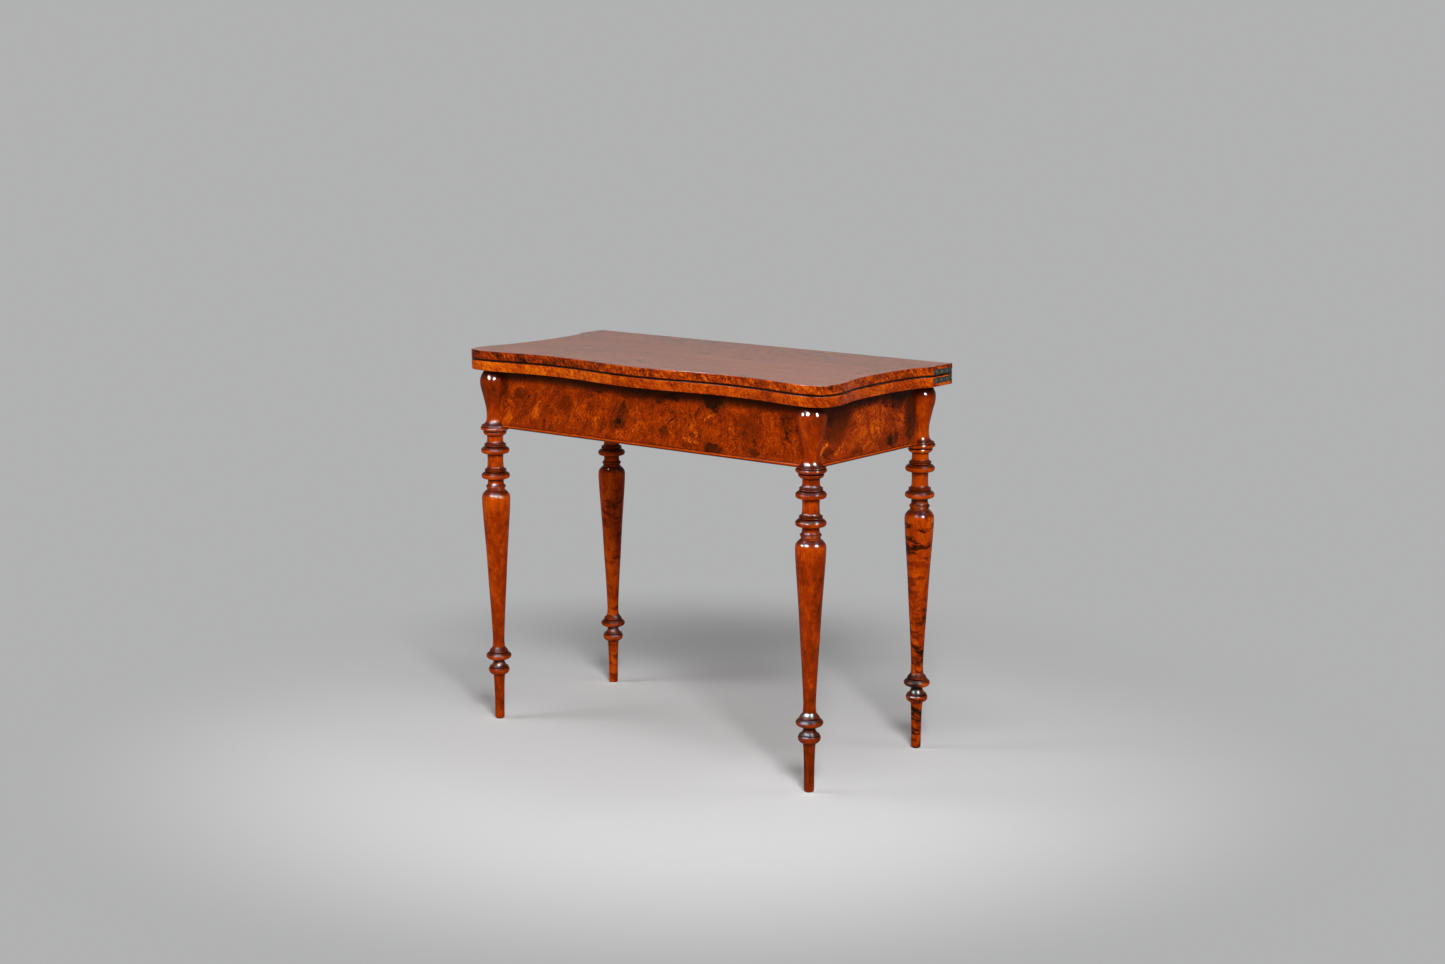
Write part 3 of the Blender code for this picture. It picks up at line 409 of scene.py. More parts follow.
class Finish(Nodes):
    """A material under construction."""

    def __init__(self, name):
        self.material = bpy.data.materials.new(name)
        self.material.use_nodes = True
        super().__init__(self.material.node_tree)
        self.shader = self.nodes["Principled BSDF"]
        self.place = self.node("ShaderNodeTexCoord", output="Object")

    def set(self, **values):
        """Sets or links the shader's sockets; an underscore stands for a space."""
        for name, value in values.items():
            self.plug(self.shader.inputs[name.replace("_", " ")], value)

    def vector(self, operation, first, second):
        return self.node("ShaderNodeVectorMath", {"operation": operation}, {0: first, 1: second})

    def along(self, direction, point=None):
        """Distance of a point along a direction."""
        values = {0: point or self.place, 1: direction}
        return self.node("ShaderNodeVectorMath", {"operation": "DOT_PRODUCT"}, values, "Value")

    def point(self, x, y, z=0.0):
        return self.node("ShaderNodeCombineXYZ", {}, {0: x, 1: y, 2: z})

    def axes(self, point=None):
        """The three coordinates of a point."""
        return [self.along(direction, point) for direction in (RIGHT, BACK, UP)]

    def length(self, point):
        return self.node("ShaderNodeVectorMath", {"operation": "LENGTH"}, {0: point}, "Value")

    def noise(self, point, scale, detail=2.0, roughness=0.5):
        values = {"Vector": point, "Scale": scale, "Detail": detail, "Roughness": roughness}
        return self.node("ShaderNodeTexNoise", {}, values, "Fac")

    def grain(self, place, detail, roughness=0.5):
        """Noise over coordinates that carry their own scales, in cells per metre."""
        return self.noise(self.point(*place), 1.0, detail, roughness)

    def step(self, value, low, high, start=0.0, end=1.0):
        """A smooth step from start to end while the value goes from low to high."""
        values = {0: value, 1: low, 2: high, 3: start, 4: end}
        return self.node("ShaderNodeMapRange", {"interpolation_type": "SMOOTHSTEP"}, values)

    def ramp(self, value, stops):
        return self.node("ShaderNodeValToRGB", {"stops": stops}, {0: value})

    def mix(self, amount, first, second):
        return self.node("ShaderNodeMix", {"data_type": "RGBA"}, {0: amount, 6: first, 7: second}, 2)

    def mark(self, point, centre, size):
        """A soft oval patch: 1 at its centre and 0 at its edge."""
        offset = self.vector("SUBTRACT", point, centre)
        return self.step(self.length(self.vector("DIVIDE", offset, size)), 0.0, 1.0, 1.0, 0.0)

    def stroke(self, point, start, end, half_width):
        """A soft lick between two places: 1 along its middle and 0 at its edge."""
        middle = ((start[0] + end[0]) / 2, (start[1] + end[1]) / 2, 0.0)
        run = Vector((end[0] - start[0], end[1] - start[1], 0.0))
        ahead = run.normalized()
        offset = self.vector("SUBTRACT", point, middle)
        along = self.along(tuple(ahead / (run.length / 2 + half_width)), offset)
        across = self.along((-ahead.y / half_width, ahead.x / half_width, 0.0), offset)
        return self.mark(self.point(along, across), (0.0, 0.0, 0.0), (1.0, 1.0, 1.0))

    def twirl(self, u, v, centre, reach, turn):
        """Turns the plane about a centre, less and less towards the reach."""
        side = u - centre[0]
        rise = v - centre[1]
        angle = self.mark(self.point(u, v), (*centre, 0.0), (reach, reach, 1.0)) * turn
        cosine = angle.math("COSINE", angle, 0.0)
        sine = angle.math("SINE", angle, 0.0)
        return side * cosine - rise * sine + centre[0], side * sine + rise * cosine + centre[1]

    def bump(self, height, distance):
        return self.node("ShaderNodeBump", {}, {"Distance": distance, "Height": height, "Strength": 1.0})


def palette():
    return bpy.context.scene.games_table_colours


def sizes():
    return bpy.context.scene.games_table_sizes


def smooth_line(points, steps):
    """A Catmull-Rom curve through the points."""
    line = []
    for i in range(len(points) - 1):
        p1 = Vector(points[i])
        p2 = Vector(points[i + 1])
        p0 = Vector(points[i - 1]) if i > 0 else p1
        p3 = Vector(points[i + 2]) if i + 2 < len(points) else p2
        for step in range(steps):
            t = step / steps
            bend = 2 * p1 + (p2 - p0) * t
            bend += (2 * p0 - 5 * p1 + 4 * p2 - p3) * t**2
            bend += (3 * p1 - p0 - 3 * p2 + p3) * t**3
            line.append(tuple(bend / 2))
    line.append(tuple(points[-1]))
    return line


def arc(centre, radius, start, end, steps):
    """Points on a circle between two angles in degrees."""
    points = []
    for i in range(steps + 1):
        angle = math.radians(start + (end - start) * i / steps)
        points.append((centre[0] + radius * math.cos(angle), centre[1] + radius * math.sin(angle)))
    return points


def inset(outline, distance):
    """The outline moved inwards by a distance, corner by corner."""
    moved = []
    count = len(outline)
    for i in range(count):
        here = Vector(outline[i])
        before = (here - Vector(outline[i - 1])).normalized()
        after = (Vector(outline[(i + 1) % count]) - here).normalized()
        normal = Vector((-before.y, before.x)) + Vector((-after.y, after.x))
        normal.normalize()
        reach = distance / max(normal.dot(Vector((-after.y, after.x))), 0.5)
        moved.append(tuple(here + normal * reach))
    return moved


def add_loops(mesh, loops):
    """Bridges rings of vertices of the same length and caps both ends."""
    faces = [mesh.faces.new(loops[0]), mesh.faces.new(loops[-1])]
    for first, second in zip(loops, loops[1:]):
        count = len(first)
        for i in range(count):
            j = (i + 1) % count
            faces.append(mesh.faces.new((first[i], first[j], second[j], second[i])))
    bmesh.ops.recalc_face_normals(mesh, faces=faces)


def place(axis, across, along):
    """A point of an outline that is extruded along axis x, y or z."""
    first, second = across
    if axis == "x":
        return Vector((along, first, second))
    if axis == "y":
        return Vector((first, along, second))
    return Vector((first, second, along))


def add_prism(mesh, outline, axis, rows):
    """A closed prism through rows of (inset, place along the axis)."""
    loops = []
    for distance, along in rows:
        ring = inset(outline, distance) if distance else outline
        loops.append([mesh.verts.new(place(axis, point, along)) for point in ring])
    add_loops(mesh, loops)


def add_box(mesh, low, high):
    outline = [(low[0], low[1]), (high[0], low[1]), (high[0], high[1]), (low[0], high[1])]
    add_prism(mesh, outline, "z", [(0.0, low[2]), (0.0, high[2])])


def add_turned(mesh, profile, matrix, segments=SMALL_SEGMENTS):
    """A solid turned round the matrix's Z axis; the profile is (radius, height) pairs."""
    loops = []
    for radius, height in profile:
        ring = []
        for i in range(segments):
            angle = 2 * math.pi * (i + 0.5) / segments
            point = Vector((radius * math.cos(angle), radius * math.sin(angle), height))
            ring.append(mesh.verts.new(matrix @ point))
        loops.append(ring)
    add_loops(mesh, loops)


def new_object(name, mesh):
    data = bpy.data.meshes.new(name)
    mesh.to_mesh(data)
    mesh.free()
    made = bpy.data.objects.new(name, data)
    bpy.context.scene.collection.objects.link(made)
    return made


def prism(name, outline, axis, rows):
    mesh = bmesh.new()
    add_prism(mesh, outline, axis, rows)
    return new_object(name, mesh)


def facing(point, direction):
    """Carries the Z axis to a point, along a direction."""
    return Matrix.Translation(point) @ Vector(direction).to_track_quat("Z", "Y").to_matrix().to_4x4()


def ends_of(node, side):
    """Outer and inner end of a piece along the table's length."""
    low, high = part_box(node)
    return (low.x, high.x) if side < 0 else (high.x, low.x)


def carve(piece, cutter_mesh, operation="DIFFERENCE"):
    """Cuts the piece with a mesh, or joins the mesh to it, and keeps only the result."""
    cutter = new_object("cutter", cutter_mesh)
    modifier = piece.modifiers.new("carve", "BOOLEAN")
    modifier.operation = operation
    modifier.solver = "EXACT"
    modifier.object = cutter
    depsgraph = bpy.context.evaluated_depsgraph_get()
    depsgraph.update()
    result = bpy.data.meshes.new_from_object(piece.evaluated_get(depsgraph))
    piece.modifiers.clear()
    old = piece.data
    piece.data = result
    result.name = piece.name
    bpy.data.meshes.remove(old)
    bpy.data.objects.remove(cutter, do_unlink=True)


def carve_prism(piece, outline, axis, rows):
    mesh = bmesh.new()
    add_prism(mesh, outline, axis, rows)
    carve(piece, mesh)


def carve_box(piece, low, high, operation="DIFFERENCE"):
    mesh = bmesh.new()
    add_box(mesh, low, high)
    carve(piece, mesh, operation)


def finish_piece(piece, body, materials, replaced, angle=CRISP_ANGLE):
    """Shades the piece, dresses it and puts it in the place of its plain solid."""
    piece.data.shade_smooth()
    piece.data.set_sharp_from_angle(angle=math.radians(angle))
    piece.data.materials.clear()
    for material in materials:
        piece.data.materials.append(material)
    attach(piece, body)
    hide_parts(replaced)
    return piece


def dress_node(node, material):
    """Gives a solid that stays as it is a finer material."""
    data = frame["nodes"][node].data
    data.materials.clear()
    data.materials.append(material)


# In the formulas below tone runs from 0 for the deepest flames to 1 for the brightest, and the
# factors are shares of it. The scales of a grain are cells per metre.


def wood_colours():
    """Stops of the polished wood, from its deepest flames to its brightest."""
    colours = palette()
    return [
        (0.00, colours.deep), (0.25, colours.brown), (0.50, colours.russet), (0.76, colours.orange),
        (1.00, colours.gold),
    ]


def polish(finish, tone, relief, roughness=0.14):
    """French polish over figured wood; tone sets the colour."""
    colour = finish.ramp(tone, wood_colours())
    smear = finish.noise(finish.place, 14.0, 3.0)
    finish.set(Base_Color=colour, Specular_IOR_Level=0.03, IOR=1.5)
    finish.set(Roughness=roughness - 0.04 + smear * 0.10)
    ripple = finish.noise(finish.place, 60.0, 1.0)
    finish.set(Normal=finish.bump(relief * 0.35 + ripple * 0.65, PORE_DEPTH))
    return finish.material


def fibres(finish, across, along, depth, fine=420.0, long=16.0):
    """Fine fibres and short open pores of the wood along one direction."""
    thread = finish.grain((across * fine, along * long, depth * fine), 3.0, 0.6)
    dash = finish.grain((across * 1100.0, along * 60.0, depth * 1100.0), 1.0)
    pores = finish.step(dash, 0.60, 0.74)
    return thread, pores


def frieze_wood(name, u_axis, centre, figure, lean, warmth):
    """Flame veneer with its grain upright, its curls, and its dark and bright patches."""
    finish = Finish(name)
    height = rail_height()
    u = finish.along(u_axis)
    v = finish.along(UP) - rail_bottom()
    for curl_u, curl_v, reach, turn in figure["curls"]:
        u, v = finish.twirl(u, v, (curl_u, curl_v * height), reach, turn)
    flat = finish.point(u, v)
    drift = finish.noise(flat, 10.0, 2.0) - 0.5
    curl = finish.noise(flat, 38.0, 4.0, 0.65) - 0.5
    ripple = finish.noise(flat, 150.0, 3.0, 0.65) - 0.5
    fan = (u - centre) / (1.0 + lean * (height - v))
    s = fan + drift * 0.06 + curl * 0.016 + ripple * 0.006
    t = v + curl * 0.026 + drift * 0.03 + ripple * 0.006
    cloud = finish.noise(finish.point(s, t), 17.0, 4.0, 0.62) - 0.5
    mottle = finish.grain((s * 70.0, t * 46.0), 4.0, 0.74) - 0.5
    flame = finish.grain((s * 190.0, t * 44.0), 3.0, 0.70) - 0.5
    flake = finish.grain((s * 430.0, t * 240.0), 2.0, 0.65) - 0.5
    thread, pores = fibres(finish, s, t, u * 0.0, 700.0, 40.0)
    tone = warmth + cloud * 0.66 + mottle * 0.78 + flame * 0.60 + flake * 1.05 + (thread - 0.5) * 0.12
    lick = 0.40 + finish.step(mottle + flame * 0.7 + flake * 0.4, -0.12, 0.10) * 0.85
    torn = mottle * 0.55 + flame * 0.75 + flake * 0.50
    frayed = finish.point(u + curl * 0.022 + ripple * 0.020, v + drift * 0.02 + curl * 0.026 + ripple * 0.016)
    for mark_u, mark_v, width, tall, strength in figure["marks"]:
        patch = finish.mark(frayed, (mark_u, mark_v * height, 0.0), (width, tall * height, 1.0))
        tone = tone + finish.step(patch + torn, 0.16, 0.52) * lick * strength
    for start_u, start_v, end_u, end_v, width, strength in figure["strokes"]:
        line = finish.stroke(frayed, (start_u, start_v * height), (end_u, end_v * height), width)
        tone = tone + finish.step(line + torn * 0.5, 0.12, 0.50) * lick * strength
    for knot_u, knot_v, width, tall in figure["knots"]:
        knot = finish.mark(flat, (knot_u, knot_v * height, 0.0), (width, tall, 1.0))
        tone = tone - finish.step(knot + flake * 0.8, 0.20, 0.50) * 0.28
    # Painted shadow under the overhang of the leaf, darkest at the top of the frieze
    painted_shadow = finish.step(v - height, *(-drop for drop in FRIEZE_SHADOW))
    return polish(finish, tone * (1.0 - painted_shadow * 0.80) - pores * 0.08, thread - pores)


def rail_bottom():
    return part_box("front_rail")[0].z


def rail_height():
    low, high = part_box("front_rail")
    return high.z - low.z


# Figure of the friezes, with places along the rail in metres and places up it as shares of its
# height. Curls are (place, place up, reach, turn), patches (place, place up, half width, share of
# the height, strength), strokes (from, from up, to, to up, half width, strength) and knots
# (place, place up, half width, half height).
FRONT_FIGURE = {
    "curls": [(0.090, 0.45, 0.060, 0.6), (-0.230, 0.40, 0.070, 0.4), (0.300, 0.45, 0.060, -0.4)],
    "marks": [
        # The first patch on the next line is a painted shadow beside the left leg.
        (-0.360, 0.80, 0.016, 0.35, -0.28), (-0.316, 0.62, 0.028, 0.16, -0.24),
        (-0.200, 0.57, 0.026, 0.20, -0.16), (-0.061, 0.31, 0.024, 0.20, -0.24),
        (-0.022, 0.86, 0.060, 0.18, -0.24), (0.066, 0.84, 0.026, 0.13, -0.36),
        (0.040, 0.83, 0.016, 0.12, -0.24), (0.166, 0.86, 0.042, 0.20, -0.42),
        (0.172, 0.72, 0.018, 0.10, -0.24), (0.169, 0.08, 0.036, 0.15, -0.34),
        (0.052, 0.20, 0.026, 0.16, -0.28), (0.263, 0.08, 0.018, 0.13, -0.26),
        (0.340, 0.60, 0.020, 0.36, -0.16), (0.250, 0.50, 0.050, 0.44, -0.10),
        (-0.274, 0.30, 0.018, 0.22, 0.13), (-0.117, 0.28, 0.022, 0.16, 0.14),
        (-0.064, 0.12, 0.020, 0.12, 0.08), (-0.018, 0.40, 0.030, 0.34, 0.08),
        (0.217, 0.32, 0.020, 0.34, 0.14), (-0.352, 0.28, 0.020, 0.34, 0.10),
        (0.110, 0.36, 0.040, 0.36, 0.08), (-0.160, 0.42, 0.040, 0.30, 0.06),
    ],
    "strokes": [
        (-0.045, 0.72, -0.068, 0.24, 0.012, -0.22), (-0.226, 0.77, -0.190, 0.76, 0.0018, -0.18),
        (-0.152, 0.59, -0.139, 0.57, 0.0020, -0.34), (0.057, 0.55, 0.072, 0.50, 0.0026, -0.34),
        (0.072, 0.50, 0.073, 0.39, 0.0028, -0.36), (0.073, 0.39, 0.062, 0.31, 0.0030, -0.34),
        (0.100, 0.71, 0.120, 0.56, 0.0030, -0.26), (0.106, 0.40, 0.128, 0.24, 0.0034, -0.34),
        (0.094, 0.58, 0.102, 0.44, 0.0026, -0.24), (0.084, 0.72, 0.096, 0.52, 0.0030, 0.20),
        (0.059, 0.28, 0.082, 0.15, 0.0030, 0.34), (0.120, 0.37, 0.138, 0.30, 0.0030, 0.28),
        (0.142, 0.53, 0.184, 0.70, 0.0042, 0.32), (0.105, 0.24, 0.138, 0.12, 0.0050, 0.26),
        (0.112, 0.52, 0.130, 0.42, 0.0030, 0.20), (0.330, 0.60, 0.360, 0.14, 0.0050, -0.28),
        (0.322, 0.80, 0.350, 0.44, 0.0034, -0.20), (0.345, 0.34, 0.360, 0.16, 0.0030, 0.34),
        (0.226, 0.45, 0.226, 0.12, 0.0030, -0.20), (0.262, 0.44, 0.265, 0.14, 0.0040, -0.26),
        (0.245, 0.52, 0.241, 0.34, 0.0030, -0.16), (0.196, 0.20, 0.214, 0.10, 0.0040, -0.20),
    ],
    "knots": [
        (-0.112, 0.81, 0.0120, 0.0042), (-0.250, 0.13, 0.0060, 0.0050), (-0.296, 0.58, 0.0050, 0.0040),
        (0.275, 0.71, 0.0022, 0.0046), (0.209, 0.49, 0.0034, 0.0040),
    ],
}
SIDE_FIGURE = {
    "curls": [(-0.095, 0.35, 0.060, -0.4), (0.075, 0.75, 0.060, 0.5)],
    "marks": [
        (-0.105, 0.66, 0.066, 0.56, -0.26), (-0.130, 0.80, 0.040, 0.30, -0.12),
        (-0.134, 0.17, 0.026, 0.18, -0.26), (0.076, 0.84, 0.060, 0.20, -0.22),
        # The first patch on the next line is a painted shadow beside the back leg.
        (0.134, 0.50, 0.032, 0.70, -0.32), (0.066, 0.12, 0.016, 0.18, -0.40),
        (0.086, 0.16, 0.012, 0.16, -0.26), (-0.040, 0.08, 0.034, 0.10, -0.20),
        (-0.008, 0.62, 0.010, 0.20, -0.14), (0.002, 0.50, 0.070, 0.52, 0.12),
        (0.022, 0.36, 0.028, 0.26, 0.14), (0.104, 0.54, 0.024, 0.32, 0.12),
        (-0.040, 0.66, 0.024, 0.20, 0.08),
    ],
    "strokes": [
        (-0.160, 0.10, -0.128, 0.42, 0.0055, 0.46), (-0.143, 0.08, -0.082, 0.28, 0.0060, 0.26),
        (0.036, 0.84, 0.070, 0.57, 0.0050, -0.34), (0.058, 0.86, 0.088, 0.64, 0.0050, -0.34),
        (0.068, 0.58, 0.096, 0.40, 0.0045, -0.26), (-0.005, 0.58, -0.004, 0.30, 0.0030, -0.20),
        (0.030, 0.52, 0.032, 0.26, 0.0030, -0.16), (0.010, 0.44, 0.022, 0.20, 0.0040, 0.18),
    ],
    "knots": [(0.020, 0.30, 0.0022, 0.0060)],
}
BACK_FIGURE = {
    "curls": [(-0.150, 0.50, 0.080, 1.0), (0.120, 0.40, 0.070, -1.2)],
    "marks": [(-0.250, 0.60, 0.060, 0.40, -0.20), (0.180, 0.30, 0.070, 0.30, -0.18)],
    "strokes": [(-0.120, 0.80, -0.100, 0.20, 0.006, -0.20), (0.060, 0.60, 0.120, 0.30, 0.005, 0.20)],
    "knots": [(0.050, 0.70, 0.0050, 0.0040)],
}


def joint_dirt(finish):
    """1 where shade is painted along the joint of the closed leaves."""
    joint = (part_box("lower_leaf")[1].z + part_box("upper_leaf")[0].z) / 2
    up = finish.along(UP) - joint
    return finish.step(up, *JOINT_SHADE_BELOW) * finish.step(up, *JOINT_SHADE_ABOVE)


def leaf_edge_wood(name, light, streaks, contrast, left_shade):
    """Crossbanded edge of a leaf, with slanting flames; left_shade darkens the front's left part."""
    finish = Finish(name)
    x, y, z = finish.axes()
    run = x + y * 0.85
    drift = finish.noise(finish.place, 9.0, 2.0) - 0.5
    curl = finish.noise(finish.place, 60.0, 3.0, 0.6) - 0.5
    s = run + z * 0.6 + drift * 0.05 + curl * 0.014
    cloud = finish.grain((s * 22.0, z * 24.0), 3.0, 0.6) - 0.5
    mottle = finish.grain((s * 130.0, z * 100.0), 4.0, 0.72) - 0.5
    flame = finish.grain((s * 360.0, z * 50.0), 3.0, 0.64) - 0.5
    zone = finish.grain((run * 7.0, z * 0.0), 1.0)
    spots = finish.step(finish.grain((run * 44.0, z * 70.0), 1.0), 0.70, 0.76)
    thread, pores = fibres(finish, s, z, run * 0.05, 800.0, 60.0)
    fleck = finish.noise(finish.place, 330.0, 3.0, 0.65) - 0.5
    tone = light + (cloud * 0.85 + mottle * 1.10 + fleck * 0.80) * contrast
    tone = tone + flame * streaks * finish.step(zone, 0.44, 0.62, 0.20, 1.2)
    tone = tone + (thread - 0.5) * 0.10 - spots * 0.26 - pores * 0.05
    front_left = finish.step(x, *LEFT_SHADE_X) * finish.step(y, *LEFT_SHADE_Y)
    tone = tone - front_left * left_shade * (1.0 + mottle * 1.4)
    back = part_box("upper_leaf")[1].y
    # Darker near the back edge of the leaf, at the fold
    fold = finish.step(y, *(back - reach for reach in FOLD_DARKENING))
    # Painted shade along the joint of the leaves, and the darkening near the back edge
    joint_and_fold_factor = (1.0 - joint_dirt(finish) * 0.97) * (1.0 - fold * 0.75)
    material = polish(finish, tone * joint_and_fold_factor, thread - pores, 0.24)
    finish.set(Specular_IOR_Level=0.045)
    return material


def leaf_face_wood(name):
    """Quiet long-grained veneer on the broad faces of the leaves."""
    finish = Finish(name)
    colours = palette()
    x, y, z = finish.axes()
    drift = finish.grain((x * 2.2, y * 6.0), 0.0) - 0.5
    sway = finish.grain((x * 9.0, y * 16.0), 0.0) - 0.5
    across = y + drift * 0.024 + sway * 0.005
    band = finish.grain((x * 1.6, across * 30.0), 4.0, 0.62) - 0.5
    line = finish.grain((x * 5.0, across * 70.0), 4.0, 0.70) - 0.5
    cloud = finish.grain((x * 7.0, y * 12.0), 3.0, 0.6) - 0.5
    mottle = finish.grain((x * 110.0, y * 60.0), 4.0, 0.70) - 0.5
    specks = finish.step(finish.grain((x * 140.0, y * 42.0), 2.0), 0.54, 0.64)
    outside = finish.step(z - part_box("upper_leaf")[1].z, *TOP_SKIN)
    far = finish.step(y + x * 0.12, *SPECKLED, 0.20, 1.0) * outside
    thread, pores = fibres(finish, across, x, y * 0.0, 520.0, 14.0)
    tone = 0.48 + band * 0.60 + line * 0.90 + cloud * 0.36 + mottle * 0.90 - specks * far * 0.60
    tone = tone + (thread - 0.5) * 0.44 - pores * 0.16
    stops = [(0.0, colours.top_dark), (0.5, colours.top), (1.0, colours.top_light)]
    material = polish(finish, tone, (thread - pores) * 0.25, 0.20)
    finish.set(Base_Color=finish.ramp(tone, stops), Specular_IOR_Level=0.24)
    scratch = finish.grain((x * 14.0, y * 520.0), 2.0)
    smear = finish.grain((x * 6.0, y * 9.0), 3.0)
    finish.set(Roughness=0.20 + smear * 0.12 + scratch * 0.06)
    return material


def turned_wood(name, centre, figure):
    """Solid turned wood: growth rings about a pith outside the leg, dirt and painted shade in the grooves."""
    seed = figure["seed"]
    finish = Finish(name)
    x, y, z = finish.axes(finish.vector("SUBTRACT", finish.place, (centre.x, centre.y, 0.0)))
    drift = finish.noise(finish.point(x + seed, y - seed * 0.7, z * 0.30 + seed), 12.0, 2.0) - 0.5
    curl = finish.noise(finish.point(x + seed, y, z + seed), 40.0, 3.0, 0.6) - 0.5
    pith = finish.point(x - PITH[0] + drift * 0.030, y - PITH[1] + drift * 0.018)
    ring = finish.length(pith) + z * 0.035 + curl * 0.0030
    growth = finish.grain((ring * 300.0, z * 3.5 + seed), 3.0, 0.62) - 0.5
    cloud = finish.noise(finish.point(x * 1.6 + seed, y * 1.6, z * 0.8), 24.0, 3.0, 0.6) - 0.5
    mottle = finish.grain((x * 110.0 + seed, y * 110.0, z * 60.0), 4.0, 0.65) - 0.5
    slant = z * 88.0 + (x - y) * 16.0 + drift * 6.0
    lick = finish.grain((x * 26.0 + seed, y * 26.0, slant), 3.0, 0.62)
    zone = finish.step(finish.noise(finish.point(seed, 0.0, z), 7.0, 1.0), 0.34, 0.56)
    zone = zone * finish.step(z, *FLAME_TOP)
    thread, pores = fibres(finish, ring * 1.4, z, x * 0.4, 620.0, 14.0)
    tone = figure["light"] + growth * figure["rings"] + cloud * 0.60 + mottle * 0.50 + (thread - 0.5) * 0.28
    tone = tone - pores * 0.09 - finish.step(lick, 0.48, 0.62) * zone * figure["flame"]
    for height, reach, strength in figure["bands"]:
        band = finish.mark(finish.point(0.0, 0.0, z), (0.0, 0.0, height), (1.0, 1.0, reach))
        tone = tone + band * strength
    shaded = finish.step(x * 0.785 + y * 0.620 + curl * 0.02, *RIGHT_SHADE)
    tone = tone - shaded * figure["right_shade"]
    leg_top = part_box("leg_front_left")[1].z
    # Painted shadow under the leaf, darkest at the top of the leg
    painted_shadow = finish.step(z, *(leg_top - drop for drop in LEG_TOP_SHADOW))
    groove = finish.node("ShaderNodeAttribute", {"attribute_name": "groove"}, {}, "Fac")
    # Dirt and painted shade in the grooves, darkest in the deepest
    dirt = finish.step(groove, 0.03, 0.62)
    normal = finish.node("ShaderNodeTexCoord", output="Normal")
    # Darker where the surface faces up
    upward_darkening = finish.step(finish.along(UP, normal), 0.12, 0.75)
    tone = tone * (1.0 - dirt) * (1.0 - upward_darkening * 0.55) * (1.0 - painted_shadow * 0.6)
    material = polish(finish, tone, thread - pores)
    finish.set(Roughness=0.07 + (cloud + 0.5) * 0.05 + dirt * 0.08)
    return material


def bead_wood():
    """Straight-grained bead along the frieze."""
    finish = Finish("bead wood")
    x, y, up = finish.axes()
    run = x + y
    patch = finish.grain((run * 16.0, up * 8.0), 3.0, 0.6) - 0.5
    thread, pores = fibres(finish, up, run, up * 0.0, 900.0, 30.0)
    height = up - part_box("front_bead")[0].z
    # Painted shade in the crease above the bead and under its lower edge
    bead_shade = finish.step(height, *BEAD_SHADE_ABOVE) * 0.6 + finish.step(height, *BEAD_SHADE_BELOW)
    # A painted highlight along the upper curve of the bead
    painted_highlight = finish.step(height, *BEAD_HIGHLIGHT_BELOW) * finish.step(height, *BEAD_HIGHLIGHT_ABOVE)
    tone = 0.46 + patch * 0.4 + painted_highlight * 0.26 + (thread - 0.5) * 0.20 - pores * 0.08
    return polish(finish, tone * (1.0 - bead_shade * 0.8), thread - pores, 0.15)


def bare_wood(name, grain_axis, seed):
    """Planed softwood, darkened by age, with no polish on it."""
    finish = Finish(name)
    colours = palette()
    point = finish.vector("ADD", finish.place, (seed, seed * 0.5, seed * 0.3))
    along = finish.along(grain_axis, point)
    side = Vector(grain_axis).cross(Vector((0.31, 0.22, 0.92))).normalized()
    across = finish.along(tuple(side), point)
    drift = finish.noise(point, 6.0, 2.0)
    ring = across + (drift - 0.5) * 0.045
    growth = finish.grain((ring * 190.0, along * 3.0), 2.0, 0.5)
    thread, pores = fibres(finish, ring, along, across * 0.1, 700.0, 20.0)
    stain = finish.noise(point, 11.0, 4.0, 0.6)
    dark = finish.step(growth, 0.40, 0.72) * 0.55 + finish.step(stain, 0.48, 0.75) * 0.45
    dark = dark + (thread - 0.5) * 0.35
    finish.set(Base_Color=finish.mix(dark, colours.bare_wood, colours.bare_wood_dark))
    finish.set(Roughness=0.62 + thread * 0.18, Specular_IOR_Level=0.02)
    finish.set(Normal=finish.bump(thread * 0.7 - pores * 0.3 + growth * 0.4, PLANED_DEPTH))
    return finish.material


def baize_cloth():
    """Napped wool: a close felted surface with lighter fibre ends and worn patches."""
    finish = Finish("green baize")
    colours = palette()
    nap = finish.noise(finish.place, 900.0, 3.0, 0.7)
    felt = finish.noise(finish.place, 240.0, 3.0, 0.6)
    wear = finish.noise(finish.place, 7.0, 4.0, 0.6)
    light = [min(1.0, part * 1.9 + 0.012) for part in colours.baize]
    dark = [part * 0.55 for part in colours.baize]
    colour = finish.mix(finish.step(nap, 0.30, 0.72), dark, tuple(colours.baize))
    colour = finish.mix(finish.step(wear, 0.48, 0.80) * 0.25, colour, light)
    finish.set(Base_Color=colour, Roughness=0.92, Specular_IOR_Level=0.0)
    finish.set(Normal=finish.bump(nap * 0.5 + felt * 0.5, NAP_DEPTH))
    return finish.material


def old_brass():
    """Brass gone grey-green, with dark dirt and a little bright wear."""
    finish = Finish("old brass")
    colours = palette()
    patch = finish.noise(finish.place, 210.0, 4.0, 0.65)
    verdigris = finish.noise(finish.place, 460.0, 3.0, 0.6)
    grit = finish.noise(finish.place, 1500.0, 2.0)
    green = (0.045, 0.056, 0.040)
    dirt = (0.018, 0.016, 0.012)
    bright = [part * 1.8 for part in colours.brass]
    colour = finish.mix(finish.step(verdigris, 0.44, 0.66), colours.brass, green)
    colour = finish.mix(finish.step(patch, 0.50, 0.68), colour, dirt)
    colour = finish.mix(finish.step(patch, 0.44, 0.30), colour, bright)
    finish.set(Base_Color=colour, Metallic=0.75)
    finish.set(Roughness=0.34 + finish.step(patch, 0.45, 0.68) * 0.30)
    finish.set(Normal=finish.bump(patch * 0.6 + grit * 0.4, BRASS_DEPTH))
    return finish.material


